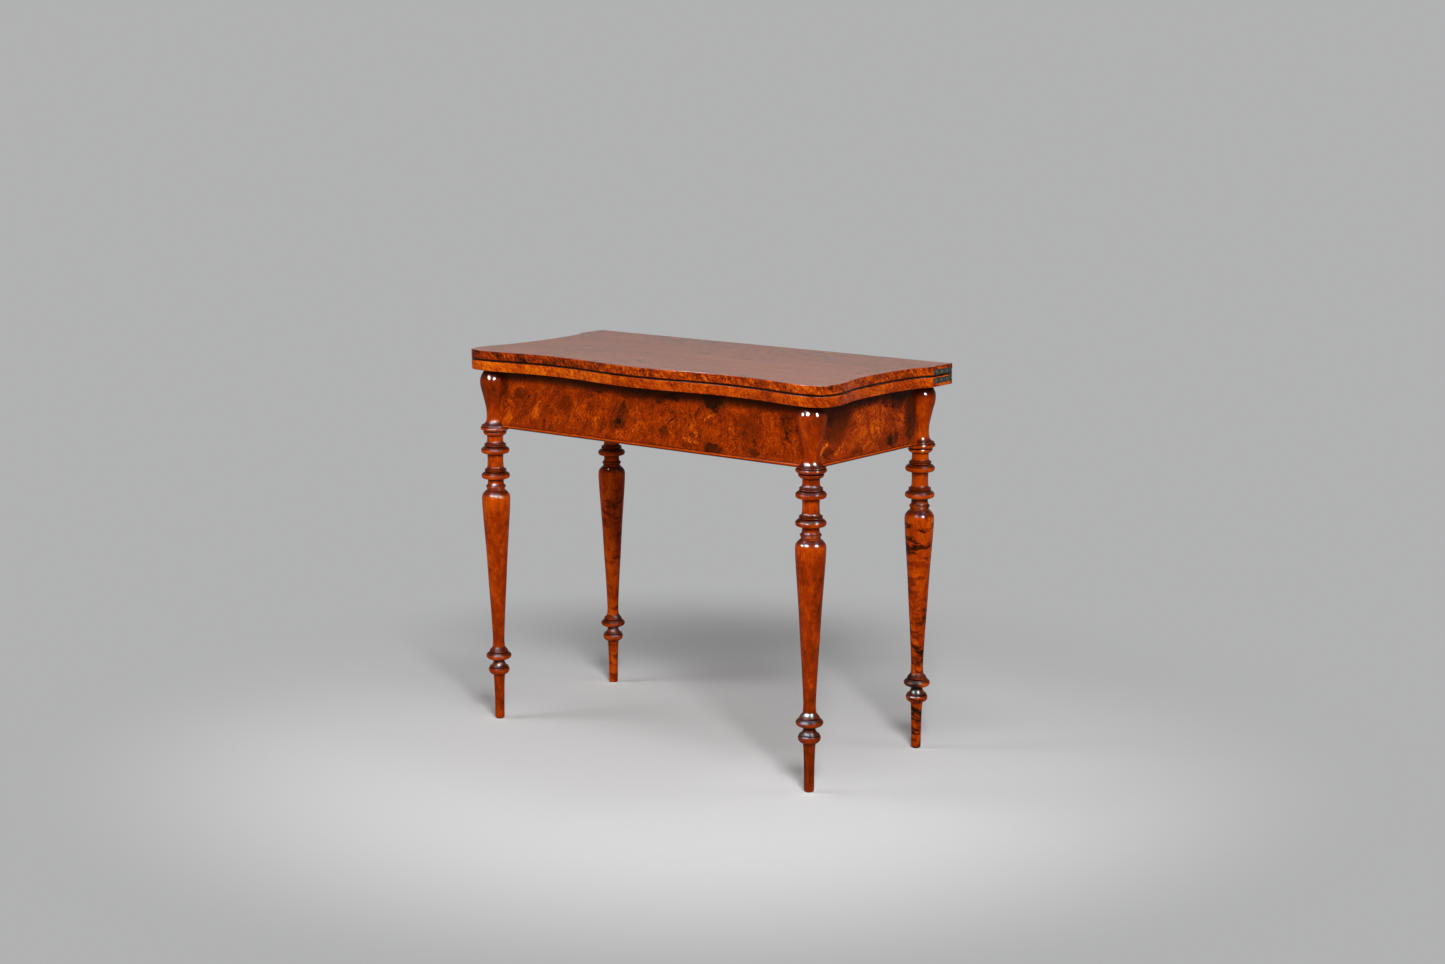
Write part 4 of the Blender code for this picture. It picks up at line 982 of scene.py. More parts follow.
def worn_steel():
    finish = Finish("worn steel")
    colours = palette()
    patch = finish.noise(finish.place, 700.0, 3.0, 0.6)
    brush = finish.noise(finish.place, 2600.0, 2.0)
    dirt = [part * 0.22 for part in colours.steel]
    colour = finish.mix(finish.step(patch, 0.48, 0.68), colours.steel, dirt)
    finish.set(Base_Color=colour, Metallic=0.9, Roughness=0.30 + patch * 0.22)
    finish.set(Normal=finish.bump(brush, STEEL_DEPTH))
    return finish.material


def forged_iron():
    finish = Finish("forged iron")
    colours = palette()
    scale = finish.noise(finish.place, 160.0, 4.0, 0.65)
    pit = finish.noise(finish.place, 620.0, 3.0, 0.6)
    rust = (0.105, 0.042, 0.018)
    colour = finish.mix(finish.step(scale, 0.55, 0.72), colours.iron, rust)
    finish.set(Base_Color=colour, Metallic=0.8)
    finish.set(Roughness=0.42 + finish.step(scale, 0.45, 0.75) * 0.38)
    finish.set(Normal=finish.bump(scale * 0.5 + pit * 0.5, IRON_DEPTH))
    return finish.material


def leg_profile(leg_top, frieze_bottom, extra=0.0):
    """Radius and height of the whole turning; extra widens it to scribe what meets it."""
    size = sizes()
    collar_base = frieze_bottom - size.collar_height * COLLAR_PEAK_SHARE
    vase_base = collar_base + size.collar_height
    ring_one = collar_base - size.ring_height
    spindle = ring_one - size.spindle_height
    ring_two = spindle - size.ring_height
    small_ring = ring_two - size.small_ring_height
    bulge = small_ring - size.shoulder_height
    low_ring = size.foot_height
    ankle_ring = low_ring + size.low_ring_height + size.ankle_gap
    shaft = ankle_ring + size.ring_height
    members = [
        (0.0, size.foot_height, size.foot_radius, size.ankle_radius, FOOT_SHARES),
        (low_ring, size.low_ring_height, size.ankle_radius, size.low_ring_radius, LOW_RING_SHARES),
        (ankle_ring, size.ring_height, size.ankle_radius, size.ankle_ring_radius, ANKLE_RING_SHARES),
        (shaft, bulge - shaft, size.ankle_radius, size.bulge_radius, SHAFT_SHARES),
        (bulge, size.shoulder_height, size.spindle_radius, size.bulge_radius, SHOULDER_SHARES),
        (small_ring, size.small_ring_height, size.spindle_radius, size.small_ring_radius, SMALL_RING_SHARES),
        (ring_two, size.ring_height, size.spindle_radius, size.ring_radius, RING_SHARES),
        (spindle, size.spindle_height, size.spindle_radius, size.ring_radius, SPINDLE_SHARES),
        (ring_one, size.ring_height, size.spindle_radius, size.ring_radius, RING_SHARES),
        (collar_base, size.collar_height, size.spindle_radius, size.collar_radius, COLLAR_SHARES),
        (vase_base, leg_top - vase_base, size.vase_neck_radius, size.vase_radius, VASE_SHARES),
    ]
    points = []
    for base, height, low, high, runs in members:
        for run in runs:
            real = [(low + (high - low) * out, base + height * up) for up, out in run]
            points += smooth_line(real, size.turning_steps)
    points.sort(key=lambda point: point[1])
    return [(radius + extra, height) for radius, height in points]


def groove_depths(profile):
    """How deep and shaded each point of the profile lies, from 0 to 1."""
    depths = []
    for radius, height in profile:
        depth = 0.0
        for reach, deepest, high_share, weight in GROOVE_SCALES:
            below = [r for r, z in profile if height - reach <= z <= height]
            above = [r for r, z in profile if height <= z <= height + reach]
            low, high = sorted((max(below), max(above)))
            mean = low + (high - low) * high_share
            depth += weight * max(0.0, min(1.0, (mean - radius) / deepest))
        depths.append(min(1.0, depth))
    return depths


def tenon_boxes(extra):
    """Corners of the stub tenons of each rail; extra widens them to mortises."""
    size = sizes()
    half = size.tenon_thickness / 2 + extra
    root = size.tenon_root + extra
    boxes = {}
    for rail, along in (("front_rail", 0), ("back_rail", 0), ("left_rail", 1), ("right_rail", 1)):
        low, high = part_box(rail)
        line = (low[1 - along] + high[1 - along]) / 2
        top = high.z - size.tenon_drop
        near_end = (low[along] - extra, low[along] + root)
        far_end = (high[along] - root, high[along] + extra)
        boxes[rail] = []
        for start, stop in (near_end, far_end):
            corners = [(start, line - half), (stop, line + half)]
            if along == 1:
                corners = [(across, run) for run, across in corners]
            heights = (top - size.tenon_height - extra, top + extra)
            boxes[rail].append([(*corner, z) for corner, z in zip(corners, heights)])
    return boxes


def rail_ends():
    """Where the long rails end in X, and the side rails in Y."""
    size = sizes()
    end_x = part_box("right_rail")[0].x - size.fit
    low_y = leg_axis("leg_front_right").y + size.rail_end_inset
    high_y = leg_axis("leg_back_right").y - size.rail_end_inset
    return end_x, low_y, high_y


def leg_axis(name):
    """The foot of a leg's axis."""
    low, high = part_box(name)
    return Vector(((low.x + high.x) / 2, (low.y + high.y) / 2, 0.0))


def leg_cutter(low, high):
    """The turnings above the collars of the legs near a piece, widened by the fit."""
    size = sizes()
    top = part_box("leg_front_left")[1].z
    frieze_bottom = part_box("front_bead")[0].z
    start = frieze_bottom - size.collar_height * COLLAR_PEAK_SHARE
    profile = [point for point in leg_profile(top, frieze_bottom, size.fit) if point[1] > start]
    profile.append((profile[-1][0], top + size.overrun))
    mesh = bmesh.new()
    reach = size.vase_radius * 2
    for name in LEG_FIGURES:
        axis = leg_axis(name)
        if all(low[i] - reach < axis[i] < high[i] + reach for i in (0, 1)):
            add_turned(mesh, profile, Matrix.Translation(axis), size.turning_segments)
    return mesh


# Figure of each leg: place in the noise, tone, strength of the growth rings and of the flames
# across, how dark the right side is, and bands of another tone as (height, reach, strength)
LEG_FIGURES = {
    "leg_front_left": {
        "seed": 1.3, "light": 0.60, "rings": 0.34, "flame": 0.10, "right_shade": 0.05,
        "bands": [(0.680, 0.085, -0.27), (0.465, 0.060, 0.10), (0.040, 0.090, -0.08)],
    },
    "leg_front_right": {
        "seed": 4.6, "light": 0.485, "rings": 0.50, "flame": 0.08, "right_shade": 0.03,
        "bands": [(0.040, 0.110, -0.20), (0.465, 0.060, 0.16), (0.540, 0.040, 0.06)],
    },
    "leg_back_left": {
        "seed": 7.9, "light": 0.64, "rings": 0.40, "flame": 0.26, "right_shade": 0.16,
        "bands": [(0.500, 0.050, -0.10)],
    },
    "leg_back_right": {
        "seed": 11.2, "light": 0.575, "rings": 0.20, "flame": 0.54, "right_shade": -0.04,
        "bands": [(0.690, 0.060, -0.12), (0.465, 0.050, 0.10), (0.060, 0.080, -0.06)],
    },
}


class GAMESTABLE_OT_legs(bpy.types.Operator):
    """Turns the four legs and mortises them for the rails"""

    bl_idname = "games_table.legs"
    bl_label = "Turned Legs"

    def execute(self, context):
        size = sizes()
        for name, figure in LEG_FIGURES.items():
            axis = leg_axis(name)
            profile = leg_profile(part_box(name)[1].z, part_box("front_bead")[0].z)
            mesh = bmesh.new()
            add_turned(mesh, profile, Matrix.Translation(axis), size.turning_segments)
            leg = new_object("turned_" + name, mesh)
            mortises = bmesh.new()
            for low, high in sum(tenon_boxes(size.fit).values(), []):
                if max(abs(low[0] - axis.x), abs(low[1] - axis.y)) < size.vase_radius * 2:
                    add_box(mortises, low, high)
            carve(leg, mortises)
            self.mark_grooves(leg, profile)
            finish_piece(leg, "frame", [turned_wood(name + " wood", axis, figure)], name)
        return {"FINISHED"}

    def mark_grooves(self, leg, profile):
        """Writes the depth of the groove at each vertex, for the dirt and painted shade in the material."""
        depths = groove_depths(profile)
        heights = [height for _, height in profile]
        values = []
        for vertex in leg.data.vertices:
            above = min(bisect.bisect_left(heights, vertex.co.z), len(heights) - 1)
            below = max(above - 1, 0)
            nearer_above = heights[above] - vertex.co.z < vertex.co.z - heights[below]
            values.append(depths[above if nearer_above else below])
        attribute = leg.data.attributes.new("groove", "FLOAT", "POINT")
        attribute.data.foreach_set("value", values)


# Frieze of each rail: direction of its run, middle of its fan, figure, lean of the fan, tone
FRIEZES = {
    "front_rail": (RIGHT, 0.10, FRONT_FIGURE, 0.4, 0.47),
    "back_rail": (RIGHT, 0.0, BACK_FIGURE, 0.5, 0.46),
    "left_rail": ((0.0, -1.0, 0.0), 0.02, SIDE_FIGURE, 6.0, 0.48),
    "right_rail": (BACK, 0.02, SIDE_FIGURE, 6.0, 0.48),
}


class GAMESTABLE_OT_rails(bpy.types.Operator):
    """Makes the four frieze rails, scribed to the legs, with their tenons"""

    bl_idname = "games_table.rails"
    bl_label = "Frieze Rails"

    def execute(self, context):
        inside = bare_wood("rail's inner face", (0.99, 0.1, 0.0), 2.0)
        tenons = tenon_boxes(0.0)
        for name, figure in FRIEZES.items():
            low, high = self.span(name)
            mesh = bmesh.new()
            add_box(mesh, low, high)
            rail = new_object("veneered_" + name, mesh)
            carve(rail, leg_cutter(low, high))
            for tenon_low, tenon_high in tenons[name]:
                carve_box(rail, tenon_low, tenon_high, "UNION")
            if name in ("front_rail", "back_rail"):
                self.house_cross_rail(rail)
            wood = frieze_wood(name.replace("_rail", " frieze wood"), *figure)
            finish_piece(rail, "frame", [wood, inside], name)
            self.bare_inner_faces(rail, name)
        return {"FINISHED"}

    def span(self, name):
        """The rail without its tenons."""
        end_x, low_y, high_y = rail_ends()
        low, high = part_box(name)
        if name in ("front_rail", "back_rail"):
            return (-end_x, low.y, low.z), (end_x, high.y, high.z)
        return (low.x, low_y, low.z), (high.x, high_y, high.z)

    def house_cross_rail(self, rail):
        size = sizes()
        low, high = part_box("pivot_rail")
        low -= Vector((size.fit, size.fit, size.fit))
        high += Vector((size.fit, size.fit, size.overrun))
        carve_box(rail, low, high)

    def bare_inner_faces(self, rail, name):
        """Only the outer face is veneered."""
        low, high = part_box(name)
        middle = (low + high) / 2
        along = 1 if name in ("front_rail", "back_rail") else 0
        outward = Vector((0.0, 0.0, 0.0))
        outward[along] = math.copysign(1.0, middle[along])
        for face in rail.data.polygons:
            if face.normal.dot(outward) < 0.5:
                face.material_index = 1


class GAMESTABLE_OT_beads(bpy.types.Operator):
    """Makes the half-round beads under the frieze"""

    bl_idname = "games_table.beads"
    bl_label = "Frieze Beads"

    def execute(self, context):
        wood = bead_wood()
        end_x, low_y, high_y = rail_ends()
        for name, axis, outward in (("front_bead", "x", -1), ("left_bead", "y", -1), ("right_bead", "y", 1)):
            low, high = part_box(name)
            if axis == "x":
                near, far, ends = low.y, high.y, (-end_x, end_x)
            elif outward < 0:
                near, far, ends = low.x, high.x, (low_y, high_y)
            else:
                near, far, ends = high.x, low.x, (low_y, high_y)
            nose = (high.z - low.z) / 2
            round_nose = arc((0.0, low.z + nose), nose, -90, 90, BEAD_STEPS)
            outline = [(near + outward * (y - nose), z) for y, z in round_nose]
            outline += [(far, high.z), (far, low.z)]
            bead = prism("polished_" + name, outline, axis, [(0.0, ends[0]), (0.0, ends[1])])
            carve(bead, leg_cutter(low, high))
            finish_piece(bead, "frame", [wood], name)
        return {"FINISHED"}


def leaf_outline(low, high):
    """Serpentine front, hollow ends and a straight back, counter-clockwise from above."""
    size = sizes()
    half_width = (high.x - low.x) / 2
    depth = high.y - low.y
    half = [(across * half_width, low.y + back * depth) for across, back in OUTLINE_SHARES]
    half.append((half_width, high.y - size.hinge_flat))
    mirrored = [(-x, y) for x, y in reversed(half[1:])]
    line = [(x, max(y, low.y)) for x, y in smooth_line(mirrored + half, size.outline_steps)]
    return line + [(half_width, high.y), (-half_width, high.y)]


def leaf_rows(bottom, top):
    """Insets and heights of a leaf with rounded arrises."""
    size = sizes()
    radius = size.arris_radius
    flat = radius * FACE_INSET_SHARE
    round_edge = arc((radius, radius), radius, 270, 180, size.arris_steps)
    rows = [(flat, bottom)]
    rows += [(inward, bottom + height) for inward, height in round_edge]
    rows += [(inward, top - height) for inward, height in reversed(round_edge)]
    return rows + [(flat, top)]


def leaf_facts(name):
    """Playing face, direction into the leaf, pivot's place and back edge of a leaf."""
    low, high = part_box(name + "_leaf")
    face, into = (high.z, -1) if name == "lower" else (low.z, 1)
    return face, into, high.y - sizes().pivot_depth, high.y


def fold_corner(name):
    """The sliver between the square corner of the fold and its round."""
    face, into, pivot_y, back = leaf_facts(name)
    depth = sizes().pivot_depth
    past = sizes().overrun
    points = [(y, face + into * down) for y, down in arc((pivot_y, depth), depth, -90, 0, FOLD_STEPS)]
    points.append((back + past, face + into * depth))
    points.append((back + past, face - into * past))
    points.append((pivot_y, face - into * past))
    return points


def plate_outline(name, extra):
    """A hinge plate on a leaf's end, with its round ear at the pivot."""
    size = sizes()
    face, into, pivot_y, back = leaf_facts(name)
    depth = size.pivot_depth
    radius = size.ear_radius + extra
    near = size.plate_strip - extra
    far = size.plate_strip + size.plate_width + extra
    front = back - size.plate_length - extra
    rise = math.degrees(math.asin(max(-1.0, min(1.0, (depth - near) / radius))))
    points = [(front, near), (front, far), (pivot_y + radius, far)]
    points += arc((pivot_y, depth), radius, 0, -180 + rise, EAR_STEPS)
    return [(y, face + into * down) for y, down in points]


def link_room(name):
    """The room at the corner that a link needs from its closed to its open place."""
    size = sizes()
    face, into, pivot_y, back = leaf_facts(name)
    depth = size.pivot_depth
    radius = size.ear_radius + size.fit
    past = size.overrun
    points = [(back + past, -past), (back + past, depth + radius)]
    points += arc((pivot_y, depth), radius, 90, 180, ROOM_STEPS)
    points.append((pivot_y - radius, -past))
    return [(y, face + into * down) for y, down in points]


def link_rows(side_name, side, outer):
    """From the bottom of a link's room to beyond the end of the leaf."""
    size = sizes()
    low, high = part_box("hinge_link_" + side_name)
    depth = high.x - low.x + size.fit
    return [(0.0, outer - side * depth), (0.0, outer + side * size.overrun)]


def baize_outline(low, high, extra):
    """Square at the fold, with rounded corners in front."""
    radius = sizes().baize_corner
    points = [(high.x + extra, high.y + extra), (low.x - extra, high.y + extra)]
    points += arc((low.x + radius, low.y + radius), radius + extra, 180, 270, CORNER_STEPS)
    points += arc((high.x - radius, low.y + radius), radius + extra, 270, 360, CORNER_STEPS)
    return points


# Edge of each leaf: tone, strength of the flames, contrast, and how dark the front left is
LEAF_EDGES = {"lower": (0.62, 0.80, 1.05, -0.16), "upper": (0.54, 0.90, 1.70, 0.16)}


class GAMESTABLE_OT_leaves(bpy.types.Operator):
    """Shapes the two leaves and lets in the hinges, the pivot plate and the baize"""

    bl_idname = "games_table.leaves"
    bl_label = "Leaves"

    def execute(self, context):
        face_wood = leaf_face_wood("leaf veneer")
        ground = bare_wood("baize ground", (1.0, 0.05, 0.0), 5.0)
        for name, body in LEAF_BODIES:
            low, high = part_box(name + "_leaf")
            outline = leaf_outline(low, high)
            leaf = prism("shaped_" + name + "_leaf", outline, "z", leaf_rows(low.z, high.z))
            reach = high.x + sizes().overrun
            carve_prism(leaf, fold_corner(name), "x", [(0.0, -reach), (0.0, reach)])
            self.let_in_hinges(leaf, name)
            self.let_in_baize(leaf, name)
            if name == "lower":
                self.let_in_pivot(leaf)
            edge_wood = leaf_edge_wood(name + " leaf edge", *LEAF_EDGES[name])
            finish_piece(leaf, body, [edge_wood, face_wood, ground], name + "_leaf")
            self.veneer(leaf, name)
        return {"FINISHED"}

    def let_in_hinges(self, leaf, name):
        size = sizes()
        for side_name, side in SIDES:
            outer, inner = ends_of(name + "_hinge_plate_" + side_name, side)
            rows = [(0.0, inner - side * size.fit), (0.0, outer + side * size.overrun)]
            carve_prism(leaf, plate_outline(name, size.fit), "x", rows)
            carve_prism(leaf, link_room(name), "x", link_rows(side_name, side, outer))

    def let_in_baize(self, leaf, name):
        size = sizes()
        face, into = leaf_facts(name)[:2]
        rows = [(0.0, face + into * size.baize_depth), (0.0, face - into * size.overrun)]
        carve_prism(leaf, baize_outline(*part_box(name + "_baize"), size.fit), "z", rows)

    def let_in_pivot(self, leaf):
        size = sizes()
        low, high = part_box("pivot_plate")
        low -= Vector((size.fit, size.fit, size.overrun))
        high += Vector((size.fit, size.fit, size.fit))
        carve_box(leaf, low, high)

    def veneer(self, leaf, name):
        """Veneer on the broad faces and bare ground under the baize; the edge wood elsewhere."""
        face, into = leaf_facts(name)[:2]
        floor = face + into * sizes().baize_depth
        for polygon in leaf.data.polygons:
            if abs(polygon.normal.z) > FACE_NORMAL_SHARE:
                polygon.material_index = 2 if abs(polygon.center.z - floor) < sizes().fit else 1


class GAMESTABLE_OT_baize(bpy.types.Operator):
    """Lays the baize in the playing faces"""

    bl_idname = "games_table.baize"
    bl_label = "Baize"

    def execute(self, context):
        cloth = baize_cloth()
        for name, body in LEAF_BODIES:
            low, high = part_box(name + "_baize")
            edge = (high.z - low.z) / 3
            rows = [(edge, low.z), (0.0, low.z + edge), (0.0, high.z - edge), (edge, high.z)]
            sheet = prism(name + "_baize_cloth", baize_outline(low, high, 0.0), "z", rows)
            finish_piece(sheet, body, [cloth], name + "_baize")
        return {"FINISHED"}


def screw_mesh(head, outward, length, head_radius, turn):
    """A slotted countersunk screw with its head's face at the given point."""
    size = sizes()
    shank = size.screw_shank_radius
    dome = size.slot_width / 6
    profile = [
        (shank / 2, -length), (shank, -length + shank), (shank, -size.screw_head_height),
        (head_radius - dome, -dome * 2), (head_radius, -dome), (head_radius - dome, 0.0),
    ]
    matrix = facing(head, outward)
    mesh = bmesh.new()
    add_turned(mesh, profile, matrix)
    slot = bmesh.new()
    half = size.slot_width / 2
    reach = head_radius * 1.2
    add_box(slot, (-reach, -half, -size.slot_depth), (reach, half, size.slot_width))
    slot.transform(matrix @ Matrix.Rotation(turn, 4, "Z"))
    return mesh, slot


def set_screws(prefix, count, body, material):
    """Slotted screws in the place of the plain ones, with their slots at odd angles."""
    for number in range(1, count + 1):
        node = prefix + "_" + str(number)
        low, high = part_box(node)
        middle = (low + high) / 2
        span = high - low
        if span.x > span.z:
            side = 1 if middle.x > 0 else -1
            head = Vector((ends_of(node, side)[0], middle.y, middle.z))
            outward, length, radius = (side, 0, 0), span.x, span.z / 2
        else:
            head = Vector((middle.x, middle.y, low.z))
            outward, length, radius = (0, 0, -1), span.z, span.x / 2
        turn = SLOT_ANGLES[number % len(SLOT_ANGLES)]
        mesh, slot = screw_mesh(head, outward, length, radius, turn)
        screw = new_object("slotted_" + node, mesh)
        carve(screw, slot)
        finish_piece(screw, body, [material], node, SCREW_CRISP_ANGLE)


class GAMESTABLE_OT_hinges(bpy.types.Operator):
    """Makes the hinge plates, links, pins and their slotted screws"""

    bl_idname = "games_table.hinges"
    bl_label = "Card-table Hinges"

    def execute(self, context):
        brass = old_brass()
        steel = worn_steel()
        for side_name, side in SIDES:
            for name, body in LEAF_BODIES:
                self.dress(self.make_plate(name, side_name, side), body, brass)
                self.dress(self.make_pin(name, side_name, side), body, brass)
            self.dress(self.make_link(side_name, side), "links", brass)
        for name, body in LEAF_BODIES:
            set_screws(name + "_hinge_screw", HINGE_SCREWS, body, steel)
        return {"FINISHED"}

    def dress(self, piece, body, brass):
        finish_piece(piece, body, [brass], piece.name.removeprefix("brass_"))

    def eased(self, node, side):
        """Rows of a prism with an eased outer edge."""
        outer, inner = ends_of(node, side)
        edge = sizes().plate_chamfer
        return [(0.0, inner), (0.0, outer - side * edge), (edge, outer)]

    def bore(self, piece, profile, middle, side, outer):
        hole = bmesh.new()
        add_turned(hole, profile, facing((outer, middle.y, middle.z), (side, 0, 0)))
        carve(piece, hole)

    def make_plate(self, name, side_name, side):
        size = sizes()
        node = name + "_hinge_plate_" + side_name
        outer = ends_of(node, side)[0]
        plate = prism("brass_" + node, plate_outline(name, 0.0), "x", self.eased(node, side))
        carve_prism(plate, link_room(name), "x", link_rows(side_name, side, outer))
        shank = size.screw_shank_radius + size.fit
        for number in range(1, HINGE_SCREWS + 1):
            low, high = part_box(name + "_hinge_screw_" + str(number))
            middle = (low + high) / 2
            if middle.x * side < 0:
                continue
            head = (high.z - low.z) / 2 + size.fit
            profile = [(shank, -size.plate_width), (shank, -size.screw_head_height)]
            profile += [(head, 0.0), (head, size.overrun)]
            self.bore(plate, profile, middle, side, outer)
        return plate

    def make_pin(self, name, side_name, side):
        node = name + "_hinge_pin_" + side_name
        low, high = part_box(node)
        outer = ends_of(node, side)[0]
        radius = (high.z - low.z) / 2
        middle = (low + high) / 2
        edge = sizes().plate_chamfer
        profile = [(radius, low.x - high.x), (radius, -edge), (radius - edge, 0.0)]
        mesh = bmesh.new()
        add_turned(mesh, profile, facing((outer, middle.y, middle.z), (side, 0, 0)))
        return new_object("brass_" + node, mesh)

    def make_link(self, side_name, side):
        size = sizes()
        node = "hinge_link_" + side_name
        low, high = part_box(node)
        radius = (high.y - low.y) / 2
        middle = (low.y + high.y) / 2
        outline = arc((middle, low.z + radius), radius, 180, 360, EAR_STEPS)
        outline += arc((middle, high.z - radius), radius, 0, 180, EAR_STEPS)
        link = prism("brass_" + node, outline, "x", self.eased(node, side))
        for name, _ in LEAF_BODIES:
            pin_low, pin_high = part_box(name + "_hinge_pin_" + side_name)
            hole = (pin_high.z - pin_low.z) / 2 + size.fit
            profile = [(hole, -size.plate_width), (hole, size.overrun)]
            self.bore(link, profile, (pin_low + pin_high) / 2, side, ends_of(node, side)[0])
        return link


class GAMESTABLE_OT_pivot(bpy.types.Operator):
    """Dresses the swivel pivot in forged iron and sets its slotted screws"""

    bl_idname = "games_table.pivot"
    bl_label = "Swivel Pivot"

    def execute(self, context):
        iron = forged_iron()
        for node in ("pivot_plate", "pivot_pin", "pivot_washer", "pivot_nut"):
            dress_node(node, iron)
        set_screws("pivot_plate_screw", PIVOT_SCREWS, "lower_top", iron)
        return {"FINISHED"}


class GAMESTABLE_OT_inside(bpy.types.Operator):
    """Gives the bare woodwork inside the frame its planed and aged surface"""

    bl_idname = "games_table.inside"
    bl_label = "Inner Woodwork"

    def execute(self, context):
        lengthwise = bare_wood("bare wood, lengthwise", (1.0, 0.02, 0.01), 1.0)
        crosswise = bare_wood("bare wood, crosswise", (0.02, 1.0, 0.01), 3.0)
        upright = bare_wood("bare wood, upright", (0.02, 0.01, 1.0), 7.0)
        for node in ("well_floor", "floor_ledge_front", "floor_ledge_back"):
            dress_node(node, lengthwise)
        for node in ("well_partition", "pivot_rail"):
            dress_node(node, crosswise)
        for end in ("front", "back"):
            for side in ("left", "right"):
                dress_node("corner_block_" + end + "_" + side, upright)
        dress_node("stop_peg", upright)
        return {"FINISHED"}


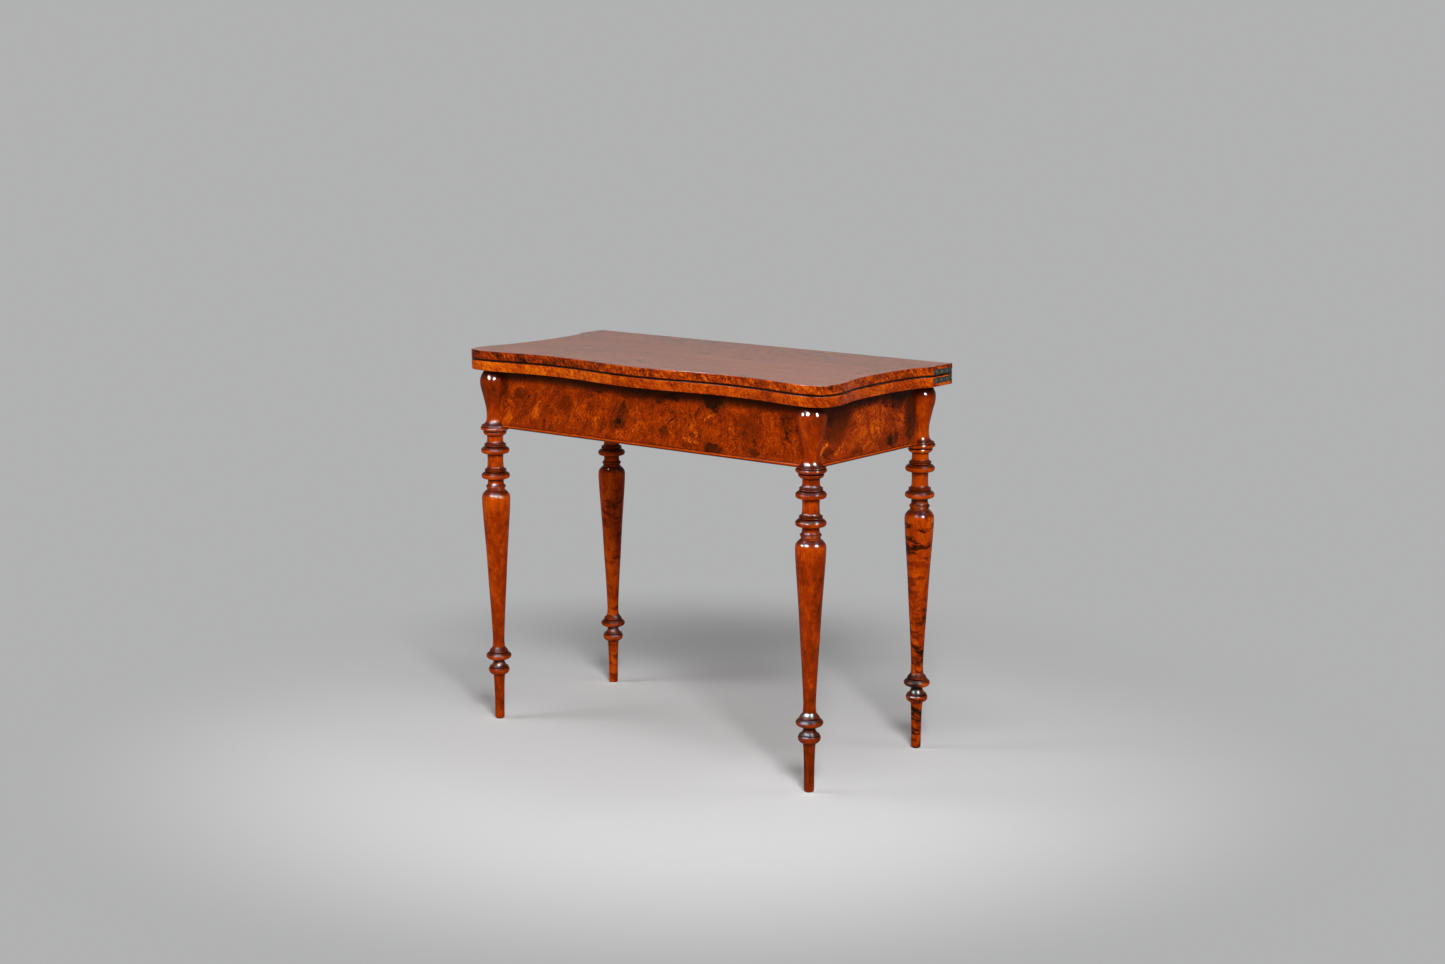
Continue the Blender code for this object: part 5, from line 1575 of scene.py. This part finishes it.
class GAMESTABLE_OT_studio(bpy.types.Operator):
    """Sets the pale floor, the soft lamps and the camera"""

    bl_idname = "games_table.studio"
    bl_label = "Studio"

    def execute(self, context):
        studio = context.scene.games_table_studio
        self.make_floor()
        self.make_world(context, studio)
        for name, spot, power in (
            ("key lamp", KEY_PLACE, studio.key_power),
            ("fill lamp", FILL_PLACE, studio.fill_power),
        ):
            soft = self.lamp(name, spot, LAMP_TARGET, SOFT_WIDTH, power)
            soft.visible_glossy = False
        legs = self.receivers("turned legs", ("turned_",))
        polished = self.receivers("polished pieces", ("turned_", "veneered_", "polished_", "shaped_"))
        for number, spot in enumerate(CEILING_PLACES, 1):
            under = Vector((spot[0], spot[1], 0.0))
            self.lamp("ceiling lamp " + str(number), spot, under, CEILING_WIDTH, studio.ceiling_power)
            glint = self.lamp("glint lamp " + str(number), spot, under, CEILING_WIDTH, studio.glint_power)
            glint.light_linking.receiver_collection = polished
            glint.visible_diffuse = False
        for number, spot in enumerate(NEAR_PLACES, 1):
            near = self.lamp("near lamp " + str(number), spot, LAMP_TARGET, NEAR_WIDTH, studio.near_power)
            near.light_linking.receiver_collection = legs
            near.visible_diffuse = False
            near.visible_camera = False
        self.make_camera(context, studio)
        context.scene.view_settings.view_transform = "Standard"
        return {"FINISHED"}

    def receivers(self, name, prefixes):
        """The pieces that a lamp shines on, by the starts of their names."""
        pieces = bpy.data.collections.new(name)
        for piece in bpy.context.scene.objects:
            if piece.name.startswith(prefixes):
                pieces.objects.link(piece)
        return pieces

    def backdrop_rays(self, tree):
        """1 for the rays that show the background, 0 for the rays that light the table."""
        total = tree.node("ShaderNodeLightPath", output="Is Camera Ray")
        for name in ("Is Glossy Ray", "Is Transmission Ray"):
            rays = {0: total, 1: tree.node("ShaderNodeLightPath", output=name)}
            total = tree.node("ShaderNodeMath", {"operation": "ADD", "use_clamp": True}, rays)
        return total

    def make_floor(self):
        """Pale floor that fades into the background a few steps away."""
        colours = palette()
        mesh = bmesh.new()
        bmesh.ops.create_circle(mesh, cap_ends=True, radius=FLOOR_RADIUS, segments=FLOOR_SEGMENTS)
        floor = new_object("studio_floor", mesh)
        finish = Finish("studio floor")
        finish.set(Base_Color=tuple(colours.floor), Roughness=0.9, Specular_IOR_Level=0.0)
        far = finish.step(finish.length(finish.place), *FLOOR_FADE)
        glow = finish.node("ShaderNodeEmission", {}, {"Color": tuple(colours.backdrop), "Strength": 1.0})
        body = Value(finish, finish.shader.outputs[0])
        shaders = {0: far * self.backdrop_rays(finish), 1: body, 2: glow}
        mixed = finish.node("ShaderNodeMixShader", {}, shaders)
        finish.links.new(mixed.socket, finish.nodes["Material Output"].inputs["Surface"])
        floor.data.materials.append(finish.material)

    def make_world(self, context, studio):
        world = bpy.data.worlds.new("studio")
        world.use_nodes = True
        context.scene.world = world
        tree = Nodes(world.node_tree)
        plain = tree.nodes["Background"]
        tree.plug(plain.inputs["Color"], (1.0, 1.0, 1.0))
        tree.plug(plain.inputs["Strength"], studio.ambient)
        seen = tree.node("ShaderNodeBackground", {}, {"Color": tuple(palette().backdrop), "Strength": 1.0})
        shaders = {0: self.backdrop_rays(tree), 1: Value(tree, plain.outputs[0]), 2: seen}
        mixed = tree.node("ShaderNodeMixShader", {}, shaders)
        tree.links.new(mixed.socket, tree.nodes["World Output"].inputs["Surface"])

    def lamp(self, name, spot, target, width, power):
        data = bpy.data.lights.new(name, "AREA")
        data.shape = "SQUARE"
        data.size = width
        data.energy = power
        made = bpy.data.objects.new(name, data)
        made.location = spot
        made.rotation_euler = (target - Vector(spot)).to_track_quat("-Z", "Y").to_euler()
        bpy.context.scene.collection.objects.link(made)
        return made

    def make_camera(self, context, studio):
        data = bpy.data.cameras.new("camera")
        data.lens = studio.lens
        data.sensor_width = SENSOR_MM
        camera = bpy.data.objects.new("camera", data)
        camera.location = studio.camera_place
        camera.rotation_euler = (math.pi / 2 - studio.camera_pitch, 0.0, studio.camera_yaw)
        context.scene.collection.objects.link(camera)
        context.scene.camera = camera


class GAMESTABLE_PT_panel(bpy.types.Panel):
    """Lists the table's pieces in the sidebar"""

    bl_idname = "GAMESTABLE_PT_panel"
    bl_label = "Games Table"
    bl_space_type = "VIEW_3D"
    bl_region_type = "UI"
    bl_category = "Games Table"

    def draw(self, context):
        layout = self.layout
        for operator in OPERATORS:
            layout.operator(operator.bl_idname)
        for group in ("games_table_sizes", "games_table_colours", "games_table_studio"):
            settings = getattr(context.scene, group)
            box = layout.box()
            for name in settings.__annotations__:
                box.prop(settings, name)


OPERATORS = [
    GAMESTABLE_OT_legs,
    GAMESTABLE_OT_rails,
    GAMESTABLE_OT_beads,
    GAMESTABLE_OT_leaves,
    GAMESTABLE_OT_baize,
    GAMESTABLE_OT_hinges,
    GAMESTABLE_OT_pivot,
    GAMESTABLE_OT_inside,
    GAMESTABLE_OT_studio,
]
CLASSES = [TableSizes, TableColours, StudioSettings, *OPERATORS, GAMESTABLE_PT_panel]


def register():
    for one in CLASSES:
        bpy.utils.register_class(one)
    bpy.types.Scene.games_table_sizes = PointerProperty(type=TableSizes)
    bpy.types.Scene.games_table_colours = PointerProperty(type=TableColours)
    bpy.types.Scene.games_table_studio = PointerProperty(type=StudioSettings)


def unregister():
    del bpy.types.Scene.games_table_studio
    del bpy.types.Scene.games_table_colours
    del bpy.types.Scene.games_table_sizes
    for one in reversed(CLASSES):
        bpy.utils.unregister_class(one)


def main():
    register()
    bpy.ops.games_table.legs()
    bpy.ops.games_table.rails()
    bpy.ops.games_table.beads()
    bpy.ops.games_table.leaves()
    bpy.ops.games_table.baize()
    bpy.ops.games_table.hinges()
    bpy.ops.games_table.pivot()
    bpy.ops.games_table.inside()
    bpy.ops.games_table.studio()


if __name__ == "__main__":
    main()
